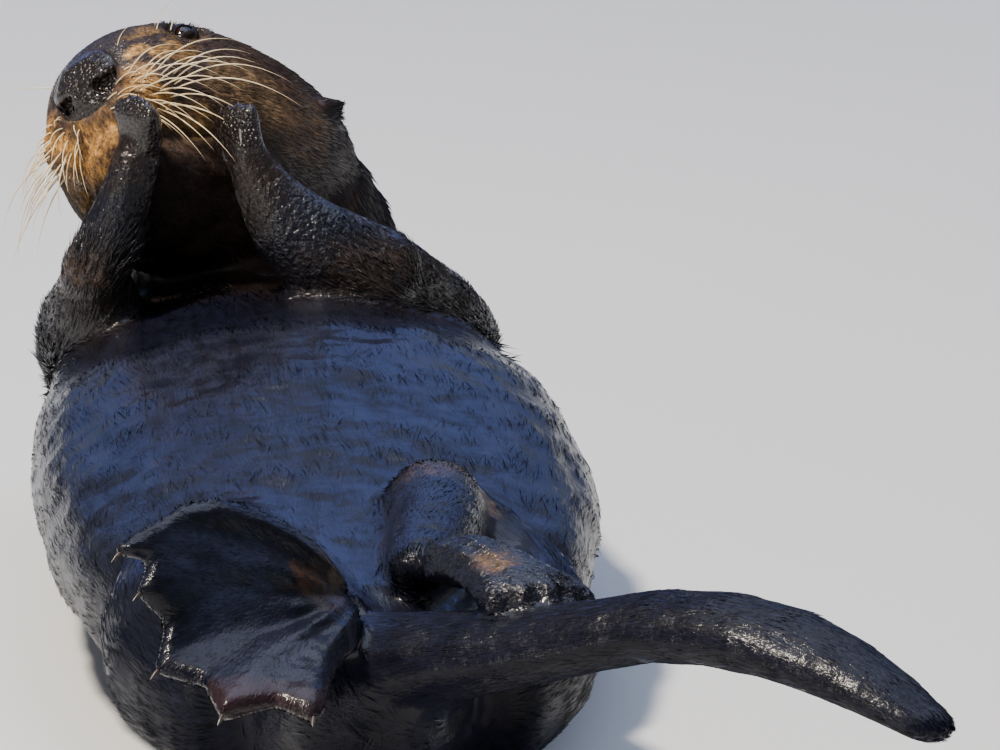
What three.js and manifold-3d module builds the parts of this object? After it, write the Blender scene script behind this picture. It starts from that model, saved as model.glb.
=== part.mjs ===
// Sea otter (Enhydra lutris), adult, life size, floating pose: on its back, neck bent
// up, both forepaws at the mouth, knees and hind feet raised, tail swung to its left.
//
// Millimetres. +Y runs along the body towards the head, +X is the otter's left, +Z is
// up. The model lies on a flat worn along its back at z = 0.
//
// Every part of the body is a loft: stations along a smooth centre line, each with a
// half-width, a height above the line and a depth below it. A part that comes later in
// the list is hollowed by the ones before it, grown by the joint gap, so that the parts
// meet face to face and never overlap.

import * as THREE from 'three';
import { mergeVertices } from 'three/addons/utils/BufferGeometryUtils.js';
import Module from 'manifold-3d';

const wasm = await Module();
wasm.setup();

// ---------------------------------------------------------------- driving dimensions

const JOINT_GAP = 0.35;        // clear space between two parts that meet
const BACK_FLAT = 0;           // height of the plane that the back rests on

const BODY_LENGTH = 640;       // pelvis to shoulders
const CHEST_HALF_WIDTH = 138;
const BELLY_HEIGHT = 150;      // floor to the top of the ribs
const HIP_HALF_WIDTH = 112;

const HEAD_CENTRE = new THREE.Vector3(-51, 615, 189);
const HEAD_FORWARD = new THREE.Vector3(-0.68, -0.463, 0.568);
const HEAD_LEFT = new THREE.Vector3(0.731, -0.37, 0.574);
const HEAD_HALF_WIDTH = 66;
const NOSE_HALF_WIDTH = 23;
const NOSE_HALF_HEIGHT = 20;
const EYE_RADIUS = 7.5;
const EYE_PLACE = new THREE.Vector3(37, 36, 27.5);

const TAIL_HALF_WIDTH = 34;
const TAIL_HALF_THICKNESS = 15;

const PAW_LENGTH = 31;
const PAW_HALF_WIDTH = 12;
const PAW_CURL = 6;

const TOES = 5;
const ANKLE_SHARE = 0.16;      // of a toe's route, where the sole begins to spread
const HIND_CLAW_LENGTH = 8;
const FORE_CLAW_LENGTH = 5;

const FUR_DARK = 0x241c1a;
const FUR_HEAD = 0x6b4e38;
const FUR_NECK = 0x4a382c;
const SKIN_NOSE = 0x1d1716;
const CLAW_HORN = 0x2b2320;
const EYE_DARK = 0x0c0908;

// ---------------------------------------------------------------- helpers

const V = (x, y, z) => new THREE.Vector3(x, y, z);

// Closed triangle grid over rings of equal length. It starts at a pole and ends on an
// edge: side k of the last ring meets the edge's point edgeOf(k), so an edge of one
// point is a pole too.
function skinRings(rings, startPole, edge, edgeOf = () => 0) {
  const sides = rings[0].length;
  const points = [startPole, ...rings.flat(), ...edge];
  const index = [];
  const at = (ring, side) => 1 + ring * sides + (side % sides);
  const firstEdge = 1 + rings.length * sides;
  for (let side = 0; side < sides; side++) {
    const [a, b] = [at(rings.length - 1, side), at(rings.length - 1, side + 1)];
    const [ea, eb] = [firstEdge + edgeOf(side), firstEdge + edgeOf((side + 1) % sides)];
    index.push(0, at(0, side + 1), at(0, side), a, b, ea);
    if (ea !== eb) index.push(b, eb, ea);
    for (let ring = 0; ring < rings.length - 1; ring++) {
      const [a, b] = [at(ring, side), at(ring, side + 1)];
      const [c, d] = [at(ring + 1, side), at(ring + 1, side + 1)];
      index.push(a, b, d, a, d, c);
    }
  }
  const geometry = new THREE.BufferGeometry();
  const flat = points.flatMap((p) => [p.x, p.y, p.z]);
  geometry.setAttribute('position', new THREE.Float32BufferAttribute(flat, 3));
  geometry.setIndex(index);
  return geometry;
}

// Six times the volume inside a closed mesh: negative when its faces point inwards.
function signedVolume(positions, index) {
  const [a, b, c] = [V(0, 0, 0), V(0, 0, 0), V(0, 0, 0)];
  let sum = 0;
  for (let i = 0; i < index.length; i += 3) {
    a.fromArray(positions, 3 * index[i]);
    b.fromArray(positions, 3 * index[i + 1]);
    c.fromArray(positions, 3 * index[i + 2]);
    sum += a.dot(b.cross(c));
  }
  return sum;
}

function toSolid(geometry) {
  const bare = geometry.clone();
  bare.deleteAttribute('normal');
  bare.deleteAttribute('uv');
  const merged = mergeVertices(bare, 1e-4);
  const vertProperties = new Float32Array(merged.attributes.position.array);
  const triVerts = new Uint32Array(merged.index.array);
  if (signedVolume(vertProperties, triVerts) < 0) triVerts.reverse();
  return new wasm.Manifold(new wasm.Mesh({ numProp: 3, vertProperties, triVerts }));
}

function toGeometry(solid) {
  const mesh = solid.getMesh();
  const geometry = new THREE.BufferGeometry();
  geometry.setAttribute('position', new THREE.BufferAttribute(mesh.vertProperties, 3));
  geometry.setIndex(new THREE.BufferAttribute(mesh.triVerts, 1));
  return geometry;
}

// The largest of the bodies a cut leaves.
function largest(solid) {
  return solid.decompose().reduce((a, b) => (a.volume() > b.volume() ? a : b));
}

const power = (value, exponent) => Math.sign(value) * Math.abs(value) ** exponent;

// A tapering limb or body. stations: [x, y, z, halfWidth, above, below].
// across: the direction of the half-width, at the start and at the end.
// square: 1 is an ellipse, smaller is boxier. caps: length of each rounded end, which
// closes over rings at the angles of dome.
function loft({
  stations, across, acrossEnd = across, sides = 12, rings = 6, caps, square = 1, dome = [60, 32],
}) {
  return (grow = 0) => {
    const centre = new THREE.CatmullRomCurve3(
      stations.map(([x, y, z]) => V(x, y, z)), false, 'catmullrom');
    const size = new THREE.CatmullRomCurve3(
      stations.map(([, , , w, above, below]) => V(w, above, below)), false, 'catmullrom');
    const frame = (t) => {
      const along = centre.getTangent(t);
      const side = across.clone().lerp(acrossEnd, t).addScaledVector(
        along, -across.clone().lerp(acrossEnd, t).dot(along)).normalize();
      return { along, side, up: side.clone().cross(along) };
    };
    const ring = (t, scale, shift) => {
      const { along, side, up } = frame(t);
      const s = size.getPoint(t);
      const origin = centre.getPoint(t).addScaledVector(along, shift);
      return Array.from({ length: sides }, (_, k) => {
        const angle = (k / sides) * 2 * Math.PI;
        const rise = power(Math.sin(angle), square);
        const height = (rise > 0 ? s.y : s.z) + grow;
        return origin.clone()
          .addScaledVector(side, (s.x + grow) * power(Math.cos(angle), square) * scale)
          .addScaledVector(up, height * rise * scale);
      });
    };
    const [capStart, capEnd] = caps.map((length) => length + grow);
    const list = [];
    const tilts = dome.map((angle) => THREE.MathUtils.degToRad(angle));
    for (const a of tilts) list.push(ring(0, Math.cos(a), -capStart * Math.sin(a)));
    for (let i = 0; i <= rings; i++) list.push(ring(i / rings, 1, 0));
    for (const a of tilts.reverse()) list.push(ring(1, Math.cos(a), capEnd * Math.sin(a)));
    const start = centre.getPoint(0).addScaledVector(frame(0).along, -capStart);
    const end = centre.getPoint(1).addScaledVector(frame(1).along, capEnd);
    return toSolid(skinRings(list, start, [end]));
  };
}

// An ellipsoid with its axes along x, y and z.
function ellipsoid(centre, radii, detail = 10) {
  return (grow = 0) => {
    const ball = new THREE.SphereGeometry(1, detail, Math.round(detail * 0.7));
    ball.scale(radii.x + grow, radii.y + grow, radii.z + grow);
    ball.translate(centre.x, centre.y, centre.z);
    return toSolid(ball);
  };
}

const joined = (...makers) => (grow = 0) =>
  makers.map((make) => make(grow)).reduce((a, b) => a.add(b));

// Moves a maker's solid from the head's own axes (x forward, y left, z to the crown)
// to where the head is.
const headMatrix = new THREE.Matrix4().makeBasis(
  HEAD_FORWARD.clone().normalize(), HEAD_LEFT.clone().normalize(),
  HEAD_FORWARD.clone().cross(HEAD_LEFT).normalize()).setPosition(HEAD_CENTRE);
const onHead = (make) => (grow = 0) => make(grow).transform(headMatrix.toArray());

// A webbed foot. Each toe is a route from the ankle to its tip; the sole is a sheet
// spread over the five routes, thick along each toe and thin in the web between them.
function webbedFoot({
  ankle, toes, normal, heel, toeThick, webThick, tipThick, scallop, perToe = 2, steps = 7,
}) {
  return (grow = 0) => {
    const across = perToe * (TOES - 1) + 1;
    const routes = toes.map((route) => new THREE.CatmullRomCurve3(
      [ankle, ...route], false, 'catmullrom'));
    const sheet = (s, t) => {
      const toe = s * (TOES - 1);
      const between = Math.sin(Math.PI * toe) ** 2;
      const reach = t * (1 - scallop * between * t);
      const row = new THREE.CatmullRomCurve3(
        routes.map((r) => r.getPoint(reach)), false, 'catmullrom');
      return row.getPoint(s);
    };
    const half = (s, t) => {
      const toe = s * (TOES - 1);
      const ridge = Math.cos(Math.PI * toe) ** 2;
      const body = THREE.MathUtils.lerp(heel, THREE.MathUtils.lerp(toeThick, tipThick, t), Math.min(1, t * 1.8));
      const web = THREE.MathUtils.lerp(heel, webThick, Math.min(1, t * 2.2));
      return THREE.MathUtils.lerp(web, body, ridge) / 2;
    };
    const facing = (s, t) => {
      const e = 0.02;
      const ds = sheet(Math.min(1, s + e), t).sub(sheet(Math.max(0, s - e), t));
      const dt = sheet(s, Math.min(1, t + e)).sub(sheet(s, Math.max(0, t - e)));
      const n = ds.cross(dt).normalize();
      return n.dot(normal) < 0 ? n.negate() : n;
    };
    const column = (k) => k / (across - 1);
    const rings = [];
    for (let i = 0; i <= steps; i++) {
      const t = THREE.MathUtils.lerp(ANKLE_SHARE, 1, i / steps);
      const face = (k, side) => sheet(column(k), t)
        .addScaledVector(facing(column(k), t), side * (half(column(k), t) + grow));
      const rim = (s, inner) => {
        const away = sheet(s, t).sub(sheet(inner, t)).normalize();
        return sheet(s, t).addScaledVector(away, half(s, t) + grow);
      };
      const top = Array.from({ length: across }, (_, k) => face(k, 1));
      const under = Array.from({ length: across }, (_, k) => face(across - 1 - k, -1));
      rings.push([...top, rim(1, 0.96), ...under, rim(0, 0.04)]);
    }
    const edge = Array.from({ length: across }, (_, k) => {
      const tip = sheet(column(k), 1);
      const along = tip.clone().sub(sheet(column(k), 0.9)).normalize();
      return tip.addScaledVector(along, half(column(k), 1) + grow);
    });
    const edgeOf = (k) => {
      if (k < across) return k;
      return k === 2 * across + 1 ? 0 : Math.min(across - 1, 2 * across - k);
    };
    return toSolid(skinRings(rings, ankle, edge, edgeOf));
  };
}

// ---------------------------------------------------------------- trunk, neck and tail

const X = V(1, 0, 0);

const trunk = loft({
  across: X, sides: 22, rings: 11, caps: [26, 44], square: 0.95,
  stations: [
    [0, 20, 68, 40, 36, 40],
    [0, 80, 67, 0.62 * HIP_HALF_WIDTH, 45, 60],
    [0, 150, 69, 0.86 * HIP_HALF_WIDTH, 49, 72],
    [0, 0.36 * BODY_LENGTH, 71, 0.9 * CHEST_HALF_WIDTH, 54, 76],
    [0, 0.52 * BODY_LENGTH, 73, CHEST_HALF_WIDTH, 66, 78],
    [-2, 0.68 * BODY_LENGTH, 74, 0.99 * CHEST_HALF_WIDTH, BELLY_HEIGHT - 77, 79],
    [-5, 0.8 * BODY_LENGTH, 73, 0.92 * CHEST_HALF_WIDTH, 64, 78],
    [-8, 0.91 * BODY_LENGTH, 70, 0.82 * CHEST_HALF_WIDTH, 62, 74],
    [-10, BODY_LENGTH, 66, 0.66 * CHEST_HALF_WIDTH, 58, 66],
  ],
});

const neck = loft({
  across: X, acrossEnd: HEAD_LEFT, sides: 16, rings: 5, caps: [18, 16], dome: [50],
  stations: [
    [-8, 600, 66, 88, 60, 74],
    [-7, 641, 105, 79, 70, 70],
    [-7, 642, 143, 64, 66, 61],
    [-27, 624, 175, 55, 52, 53],
  ],
});

const tail = loft({
  across: V(0.62, 0.76, 0), acrossEnd: V(0.7, 0.7, -0.12), sides: 12, rings: 10, caps: [6, 12], dome: [45],
  stations: [
    [4, 44, 78, 40, 30, 34],
    [40, 14, 96, 37, 21, 24],
    [84, -16, 109, TAIL_HALF_WIDTH, 16, 21],
    [128, -42, 124, TAIL_HALF_WIDTH, TAIL_HALF_THICKNESS, 20],
    [172, -76, 128, 33, TAIL_HALF_THICKNESS, 20],
    [210, -114, 120, 28, 12, 16],
    [240, -150, 108, 18, 8, 10],
  ],
});

// ---------------------------------------------------------------- head

const cranium = loft({
  across: V(0, 1, 0), sides: 22, rings: 10, caps: [14, 8], square: 0.96,
  stations: [
    [-78, 0, 0, 50, 38, 42],
    [-58, 0, 0, 62, 50, 52],
    [-32, 0, 0, HEAD_HALF_WIDTH, 57, 57],
    [-6, 0, 0, 66, 58, 57],
    [18, 0, 0, 62, 52, 56],
    [40, 0, 0, 53, 41, 50],
    [57, 0, -1, 41, 28, 40],
    [69, 0, -2, 30, 20, 28],
  ],
});

const whiskerPad = (side) => ellipsoid(V(54, side * 23, -14), V(20, 20, 18));
const nosePad = loft({
  across: V(0, 1, 0), sides: 14, rings: 2, caps: [2, 6], square: 0.9, dome: [50],
  stations: [
    [58, 0, 1, 0.9 * NOSE_HALF_WIDTH, 0.95 * NOSE_HALF_HEIGHT, 0.8 * NOSE_HALF_HEIGHT],
    [67, 0, 1, NOSE_HALF_WIDTH, NOSE_HALF_HEIGHT, NOSE_HALF_HEIGHT],
    [74, 0, 0, 0.86 * NOSE_HALF_WIDTH, 0.84 * NOSE_HALF_HEIGHT, 0.9 * NOSE_HALF_HEIGHT],
  ],
});
const nostril = (side) => ellipsoid(V(80, side * 12, -6), V(12, 6.5, 4), 8);
const chin = loft({
  across: V(0, 1, 0), sides: 12, rings: 4, caps: [8, 8], dome: [50],
  stations: [
    [4, 0, -47, 41, 12, 13],
    [26, 0, -45, 37, 12, 13],
    [46, 0, -40, 28, 11, 12],
    [59, 0, -34, 18, 9, 9],
  ],
});
const ear = (side) => loft({
  across: V(1, 0, 0.2), sides: 8, rings: 3, caps: [2, 2], dome: [50],
  stations: [
    [-37, side * 54, 8, 11, 6, 6],
    [-40, side * 62, 9, 10, 5, 5],
    [-43, side * 69, 10, 6, 3.5, 3.5],
    [-45, side * 73, 11, 2.5, 2, 2],
  ],
});
const eye = (side) => ellipsoid(
  V(EYE_PLACE.x, side * EYE_PLACE.y, EYE_PLACE.z), V(EYE_RADIUS, EYE_RADIUS, EYE_RADIUS), 9);

// ---------------------------------------------------------------- forelimbs

const upperArmRight = loft({
  across: V(0.7, 0.7, 0), rings: 5, caps: [20, 18],
  stations: [
    [-92, 592, 86, 34, 34, 34],
    [-98, 570, 108, 31, 31, 31],
    [-98, 540, 132, 24, 24, 24],
  ],
});
const forearmRight = loft({
  across: V(1, 0, 0), caps: [17, 10],
  stations: [
    [-99, 536, 146, 19, 20, 20],
    [-90, 532, 170, 16, 17, 17],
    [-82, 533, 192, 14, 14, 14],
    [-77, 536, 208, 12.5, 11, 11],
  ],
});
const upperArmLeft = loft({
  across: V(0.7, -0.7, 0), rings: 5, caps: [22, 18],
  stations: [
    [76, 598, 90, 36, 35, 33],
    [64, 572, 112, 34, 33, 31],
    [47, 546, 134, 29, 29, 28],
  ],
});
const forearmLeft = loft({
  across: V(0.6, 0, 0.8), caps: [18, 10],
  stations: [
    [44, 540, 138, 28, 26, 26],
    [12, 533, 156, 27, 24, 24],
    [-10, 534, 180, 19, 17, 17],
    [-22, 538, 202, 13, 12, 12],
  ],
});

// A forepaw: five short toes in one thick mitten. forward runs from the wrist to the
// toe tips, spread across the toes, and the pads face away from normal.
function forepaw(wrist, forward, spread, normal) {
  const lengths = [0.72, 0.94, 1, 0.94, 0.76];
  const toes = lengths.map((length, k) => {
    const side = (2 * k) / (TOES - 1) - 1;
    const middle = wrist.clone().addScaledVector(forward, 0.5 * PAW_LENGTH)
      .addScaledVector(spread, 0.8 * PAW_HALF_WIDTH * side);
    const tip = wrist.clone().addScaledVector(forward, PAW_LENGTH * (0.5 + 0.5 * length))
      .addScaledVector(spread, PAW_HALF_WIDTH * side).addScaledVector(normal, -PAW_CURL);
    return [middle, tip];
  });
  const make = webbedFoot({
    ankle: wrist, toes, normal, heel: 23, toeThick: 20, webThick: 16, tipThick: 12,
    scallop: 0.12, steps: 3,
  });
  return { toes, make };
}
const pawRight = forepaw(V(-78, 536, 201), V(0.18, 0.12, 0.976).normalize(),
  V(0.55, -0.83, 0).normalize(), V(0.8, 0.56, -0.2).normalize());
const pawLeft = forepaw(V(-19, 538, 196), V(-0.5, 0.1, 0.86).normalize(),
  V(0.62, -0.66, 0.42).normalize(), V(-0.6, -0.74, -0.3).normalize());

// ---------------------------------------------------------------- hind limbs

const thigh = (side, knee) => loft({
  across: V(1, 0, 0), rings: 6, caps: [20, 20],
  stations: [
    [side * 52, 74, 62, 40, 40, 44],
    [side * 76, 118, 68, 42, 42, 46],
    [side * 74, 164, 84, 38, 34, 44],
    [knee.x, knee.y, knee.z - 4, 27, 24, 28],
  ],
});
const shank = (knee, ankle) => loft({
  across: V(1, 0, 0), rings: 6, caps: [22, 10],
  stations: [
    [knee.x, knee.y, knee.z, 27, 26, 27],
    [0.6 * knee.x + 0.4 * ankle.x + 4, 0.6 * knee.y + 0.4 * ankle.y,
      0.6 * knee.z + 0.4 * ankle.z, 24, 21, 24],
    [ankle.x, ankle.y, ankle.z, 17, 14, 15],
  ],
});
const kneeLeft = V(44, 194, 117);
const ankleLeft = V(28, 74, 122);
const kneeRight = V(-52, 196, 98);
const ankleRight = V(-10, 54, 106);

// Right foot: fans out towards the otter's right, the two outer toes arched up and the
// three inner ones laid down in front of them.
const toesRight = [
  [V(-14, 2, 112), V(-24, -38, 108), V(-30, -78, 100)],
  [V(-20, 2, 116), V(-46, -38, 112), V(-70, -80, 102)],
  [V(-28, 6, 120), V(-64, -18, 122), V(-96, -44, 113)],
  [V(-34, 12, 134), V(-74, -8, 151), V(-103, -32, 146)],
  [V(-30, 22, 146), V(-72, 2, 173), V(-112, -26, 163)],
];
// Left foot: the toes curl down at the end of the sole.
const toesLeft = [
  [V(44, 40, 134), V(53, 12, 131), V(57, -3, 127)],
  [V(50, 44, 136), V(65, 12, 133), V(70, -5, 129)],
  [V(56, 48, 135), V(75, 18, 132), V(82, -2, 129)],
  [V(60, 54, 131), V(83, 28, 128), V(93, 6, 126)],
  [V(62, 58, 127), V(89, 38, 123), V(101, 16, 121)],
];
const hindFootRight = webbedFoot({
  ankle: ankleRight, toes: toesRight, normal: V(0.3, -0.8, 0.5),
  heel: 32, toeThick: 22, webThick: 11, tipThick: 11, scallop: 0.1,
});
const hindFootLeft = webbedFoot({
  ankle: ankleLeft, toes: toesLeft, normal: V(0, 0, 1),
  heel: 27, toeThick: 24, webThick: 14, tipThick: 13, scallop: 0.12,
});

// ---------------------------------------------------------------- claws

// A curved cone that starts inside the toe and leaves it at the tip.
function claw(route, length, width, bend) {
  const tip = route[route.length - 1];
  const along = tip.clone().sub(route[route.length - 2]).normalize();
  const root = tip.clone().addScaledVector(along, -length * 0.35);
  const mid = tip.clone().addScaledVector(along, length * 0.5).addScaledVector(bend, length * 0.1);
  const end = tip.clone().addScaledVector(along, length).addScaledVector(bend, length * 0.4);
  return loft({
    across: V(0.6, 0.3, 0.74), sides: 5, rings: 2, caps: [0.5, 0.6], dome: [],
    stations: [
      [...root.toArray(), width, width, width],
      [...mid.toArray(), width * 0.75, width * 0.75, width * 0.75],
      [...end.toArray(), width * 0.2, width * 0.2, width * 0.2],
    ],
  });
}

// ---------------------------------------------------------------- assembly

const parts = [];
const add = (name, make, colour, roughness = 0.45, hollow = null) =>
  parts.push({ name, make, colour, roughness, hollow });

const clawSets = [
  ['forepaw_right', pawRight.toes, FORE_CLAW_LENGTH, 1.4, V(0.3, -0.6, 0)],
  ['forepaw_left', pawLeft.toes, FORE_CLAW_LENGTH, 1.4, V(0.3, 0.6, 0)],
  ['hind_foot_right', toesRight, HIND_CLAW_LENGTH, 2, V(0, -0.4, -0.8)],
  ['hind_foot_left', toesLeft, HIND_CLAW_LENGTH, 2, V(0.2, 0.6, -0.6)],
];
for (const [foot, toes, length, width, bend] of clawSets) {
  toes.forEach((route, k) => {
    add(`claw_${foot}_${k + 1}`, claw(route, length, width, bend), CLAW_HORN, 0.35);
  });
}
for (const [name, side] of [['left', 1], ['right', -1]]) {
  add(`eye_${name}`, onHead(eye(side)), EYE_DARK, 0.08);
}
add('nose', onHead(nosePad), SKIN_NOSE, 0.3, onHead(joined(nostril(1), nostril(-1))));
add('head', onHead(joined(cranium, whiskerPad(1), whiskerPad(-1))), FUR_HEAD);
add('lower_jaw', onHead(chin), FUR_HEAD);
for (const [name, side] of [['left', 1], ['right', -1]]) {
  add(`ear_${name}`, onHead(ear(side)), FUR_DARK);
}
add('trunk', trunk, FUR_DARK, 0.35);
add('neck', neck, FUR_NECK);
add('upper_arm_right', upperArmRight, FUR_DARK);
add('upper_arm_left', upperArmLeft, FUR_DARK);
add('forearm_right', forearmRight, FUR_DARK, 0.35);
add('forearm_left', forearmLeft, FUR_DARK, 0.35);
add('forepaw_right', pawRight.make, SKIN_NOSE, 0.3);
add('forepaw_left', pawLeft.make, SKIN_NOSE, 0.3);
add('thigh_right', thigh(-1, kneeRight), FUR_DARK, 0.35);
add('thigh_left', thigh(1, kneeLeft), FUR_DARK, 0.35);
add('shank_right', shank(kneeRight, ankleRight), FUR_DARK, 0.35);
add('shank_left', shank(kneeLeft, ankleLeft), FUR_DARK, 0.35);
add('hind_foot_right', hindFootRight, FUR_DARK, 0.35);
add('hind_foot_left', hindFootLeft, FUR_DARK, 0.35);
add('tail', tail, FUR_DARK, 0.3);

const overlaps = (a, b) => [0, 1, 2].every((i) => a.min[i] < b.max[i] && b.min[i] < a.max[i]);

const floorBlock = new THREE.BoxGeometry(3000, 3000, 400);
floorBlock.translate(0, 0, BACK_FLAT - 200);
const underFloor = toSolid(floorBlock);

const done = [];
for (const part of parts) {
  let solid = part.make(0).subtract(underFloor);
  if (part.hollow) solid = solid.subtract(part.hollow(0));
  const reach = part.make(JOINT_GAP).add(part.make(0));
  for (const earlier of done) {
    if (overlaps(solid.boundingBox(), earlier.reach.boundingBox())) {
      solid = solid.subtract(earlier.reach);
    }
  }
  done.push({ ...part, solid: largest(solid), reach });
}

// The origin is under the middle of the whole animal, on the floor.
const box = new THREE.Box3();
for (const { solid } of done) {
  const { min, max } = solid.boundingBox();
  box.expandByPoint(V(...min)).expandByPoint(V(...max));
}
const middle = box.getCenter(V(0, 0, 0));

const otter = new THREE.Group();
for (const { name, solid, colour, roughness } of done) {
  const geometry = toGeometry(solid).translate(-middle.x, -middle.y, -box.min.z);
  geometry.computeVertexNormals();
  const mesh = new THREE.Mesh(geometry, new THREE.MeshStandardMaterial({
    color: colour, roughness, metalness: 0,
  }));
  mesh.name = name;
  otter.add(mesh);
}

export default otter;
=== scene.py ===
# %% [markdown]
# # A sea otter resting on its back, wet from the sea
# A life-size still model. Its solids come from CAD as a fixed frame, in metres; here they
# get one skin, a coat of tufts, eyes, lids, whiskers and claws.

# %% Load the solids
import math
import bpy
import bmesh
import numpy as np
from mathutils import Matrix, Vector, noise
from mathutils.bvhtree import BVHTree
from mathutils.kdtree import KDTree


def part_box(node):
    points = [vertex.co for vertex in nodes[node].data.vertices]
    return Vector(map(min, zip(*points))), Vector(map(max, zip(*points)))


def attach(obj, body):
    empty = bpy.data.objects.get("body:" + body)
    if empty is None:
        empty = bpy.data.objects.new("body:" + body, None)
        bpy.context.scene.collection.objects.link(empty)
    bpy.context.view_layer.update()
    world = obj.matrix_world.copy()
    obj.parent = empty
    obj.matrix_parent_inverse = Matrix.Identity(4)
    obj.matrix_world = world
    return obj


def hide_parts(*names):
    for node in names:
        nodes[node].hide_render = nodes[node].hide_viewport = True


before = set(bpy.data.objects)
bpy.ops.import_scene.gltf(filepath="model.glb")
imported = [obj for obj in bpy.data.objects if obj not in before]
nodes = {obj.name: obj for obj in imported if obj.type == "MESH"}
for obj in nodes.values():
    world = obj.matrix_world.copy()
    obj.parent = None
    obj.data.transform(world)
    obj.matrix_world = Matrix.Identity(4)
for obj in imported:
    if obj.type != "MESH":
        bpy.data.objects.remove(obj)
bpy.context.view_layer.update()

# %% [markdown]
# ## The places that the pieces share
# The head has its own axes, so the face is described as a maker would: so far forward,
# left and up. Each solid of flesh has a line that its fur follows, from root to tip.

# %% Landmarks
MM = 0.001


def unit(v):
    v = np.asarray(v, float)
    return v / np.maximum(np.linalg.norm(v, axis=-1, keepdims=True), 1e-9)


FORWARD = unit([-0.68, -0.463, 0.568])
LEFT = np.array([0.731, -0.37, 0.574])
LEFT = unit(LEFT - FORWARD * (LEFT @ FORWARD))
HEAD_AXES = np.array([FORWARD, LEFT, np.cross(FORWARD, LEFT)])
SIDES = {1: "left", -1: "right"}
EYE_RADIUS = 7.5
EYE_PLACE = {s: np.array([37, s * 36, 27.5]) for s in SIDES}
eye_centre = np.array(sum(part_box("eye_left"), Vector())) / 2
HEAD = eye_centre - (EYE_PLACE[1] * MM) @ HEAD_AXES
SHIFT = np.array([-51, 615, 189]) - HEAD / MM     # from the drawing's origin to the model's


def place(*p):
    """A point of the drawing, in mm, to the model, in metres."""
    return (np.array(p, float) - SHIFT) * MM


def on_head(p):
    """Head coordinates in mm (forward, left, up) to points of the model."""
    return HEAD + (np.asarray(p, float) * MM) @ HEAD_AXES


def in_head(points):
    """Points of the model to head coordinates in mm."""
    return (np.asarray(points) - HEAD) @ HEAD_AXES.T / MM


NOSE_TIP = [84, 0, 4]                             # where the fur of the head starts
ROUTES = {   # drawing coordinates in mm
    "neck": [(-27, 624, 175), (-7, 642, 143), (-7, 641, 105), (-8, 600, 66)],
    "trunk": [(-8, 660, 70), (0, 400, 72), (0, 150, 69), (0, 0, 67)],
    "tail": [(4, 44, 78), (40, 14, 96), (84, -16, 109), (128, -42, 124), (172, -76, 128),
             (210, -114, 120), (240, -150, 108)],
    "upper_arm_right": [(-92, 592, 86), (-98, 570, 108), (-98, 540, 132)],
    "forearm_right": [(-99, 536, 146), (-90, 532, 170), (-77, 536, 208)],
    "forepaw_right": [(-78, 536, 201), (-72, 540, 232)],
    "upper_arm_left": [(76, 598, 90), (64, 572, 112), (47, 546, 134)],
    "forearm_left": [(44, 540, 138), (12, 533, 156), (-10, 534, 180), (-22, 538, 202)],
    "forepaw_left": [(-19, 538, 196), (-35, 541, 222)],
    "thigh_left": [(52, 74, 62), (76, 118, 68), (74, 164, 84), (44, 194, 113)],
    "thigh_right": [(-52, 74, 62), (-76, 118, 68), (-74, 164, 84), (-52, 196, 94)],
    "shank_left": [(44, 194, 117), (28, 74, 122)],
    "shank_right": [(-52, 196, 98), (-10, 54, 106)],
    "hind_foot_left": [(28, 74, 122), (70, 24, 134), (82, -4, 126)],
    "hind_foot_right": [(-10, 54, 106), (-54, -16, 130), (-92, -46, 126)],
}
FLESH = ["head", "lower_jaw", "ear_left", "ear_right"] + list(ROUTES)
print("flesh:", len(FLESH), "solids; head at", HEAD.round(3))

# %% [markdown]
# ## Camera
# It stands far off with a long lens, a little above the animal, so that nothing is
# stretched by perspective. Two angles and a target point place it.

# %% Camera
TARGET = Vector(place(82, 280, 159))
AZIMUTH, ELEVATION = math.radians(-4.5), math.radians(15)
DISTANCE, SEEN_WIDTH, SENSOR = 6.0, 0.4762, 36


def turned_to(thing, direction):
    """Turns a camera or a light so that its back faces a direction."""
    thing.rotation_mode = "QUATERNION"
    thing.rotation_quaternion = direction.to_track_quat("Z", "Y")
    bpy.context.scene.collection.objects.link(thing)


back = Vector((math.sin(AZIMUTH) * math.cos(ELEVATION),
               -math.cos(AZIMUTH) * math.cos(ELEVATION), math.sin(ELEVATION)))
camera = bpy.data.objects.new("camera", bpy.data.cameras.new("camera"))
turned_to(camera, back)
camera.location = TARGET + DISTANCE * back
camera.data.sensor_width = SENSOR
camera.data.lens = SENSOR * DISTANCE / SEEN_WIDTH
camera.data.clip_end = 100
bpy.context.scene.camera = camera
print("camera", [round(v, 2) for v in camera.location], "lens", round(camera.data.lens), "mm")

# %% [markdown]
# ## Studio
# Wet fur is nearly black: what the eye sees is the light it mirrors. So there is a warm
# key from the left, a large cool panel behind the animal that glances off its coat as the
# sky would, a soft one overhead and a small low fill that puts glints on the nose.


# %% Lights
def srgb(code):
    """A hex colour, as a painter writes it, turned to the linear values that Blender mixes."""
    parts = [int(code[i:i + 2], 16) / 255 for i in (0, 2, 4)]
    return [p / 12.92 if p <= 0.04045 else ((p + 0.055) / 1.055) ** 2.4 for p in parts] + [1.0]


def panel(name, spot, size, watts, colour, aim=(0.0, 0.05, 0.12)):
    light = bpy.data.objects.new(name, bpy.data.lights.new(name, "AREA"))
    light.data.shape, light.data.size, light.data.size_y = "RECTANGLE", size[0], size[1]
    light.data.energy, light.data.color = watts, srgb(colour)[:3]
    light.location = spot
    turned_to(light, Vector(spot) - Vector(aim))


panel("key", (-1.2, -0.55, 3.0), (0.36, 0.36), 185, "FFF3E2")
panel("sky_panel", (0.3, 3.4, 1.45), (4.6, 1.3), 14, "5584FF")
panel("low_fill", (-2.2, -2.0, 0.75), (0.5, 0.5), 16, "FFF6EA", aim=(-0.12, 0.3, 0.2))
panel("overhead", (0.4, 1.1, 3.0), (2.6, 2.6), 55, "D3E0FF")

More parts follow.
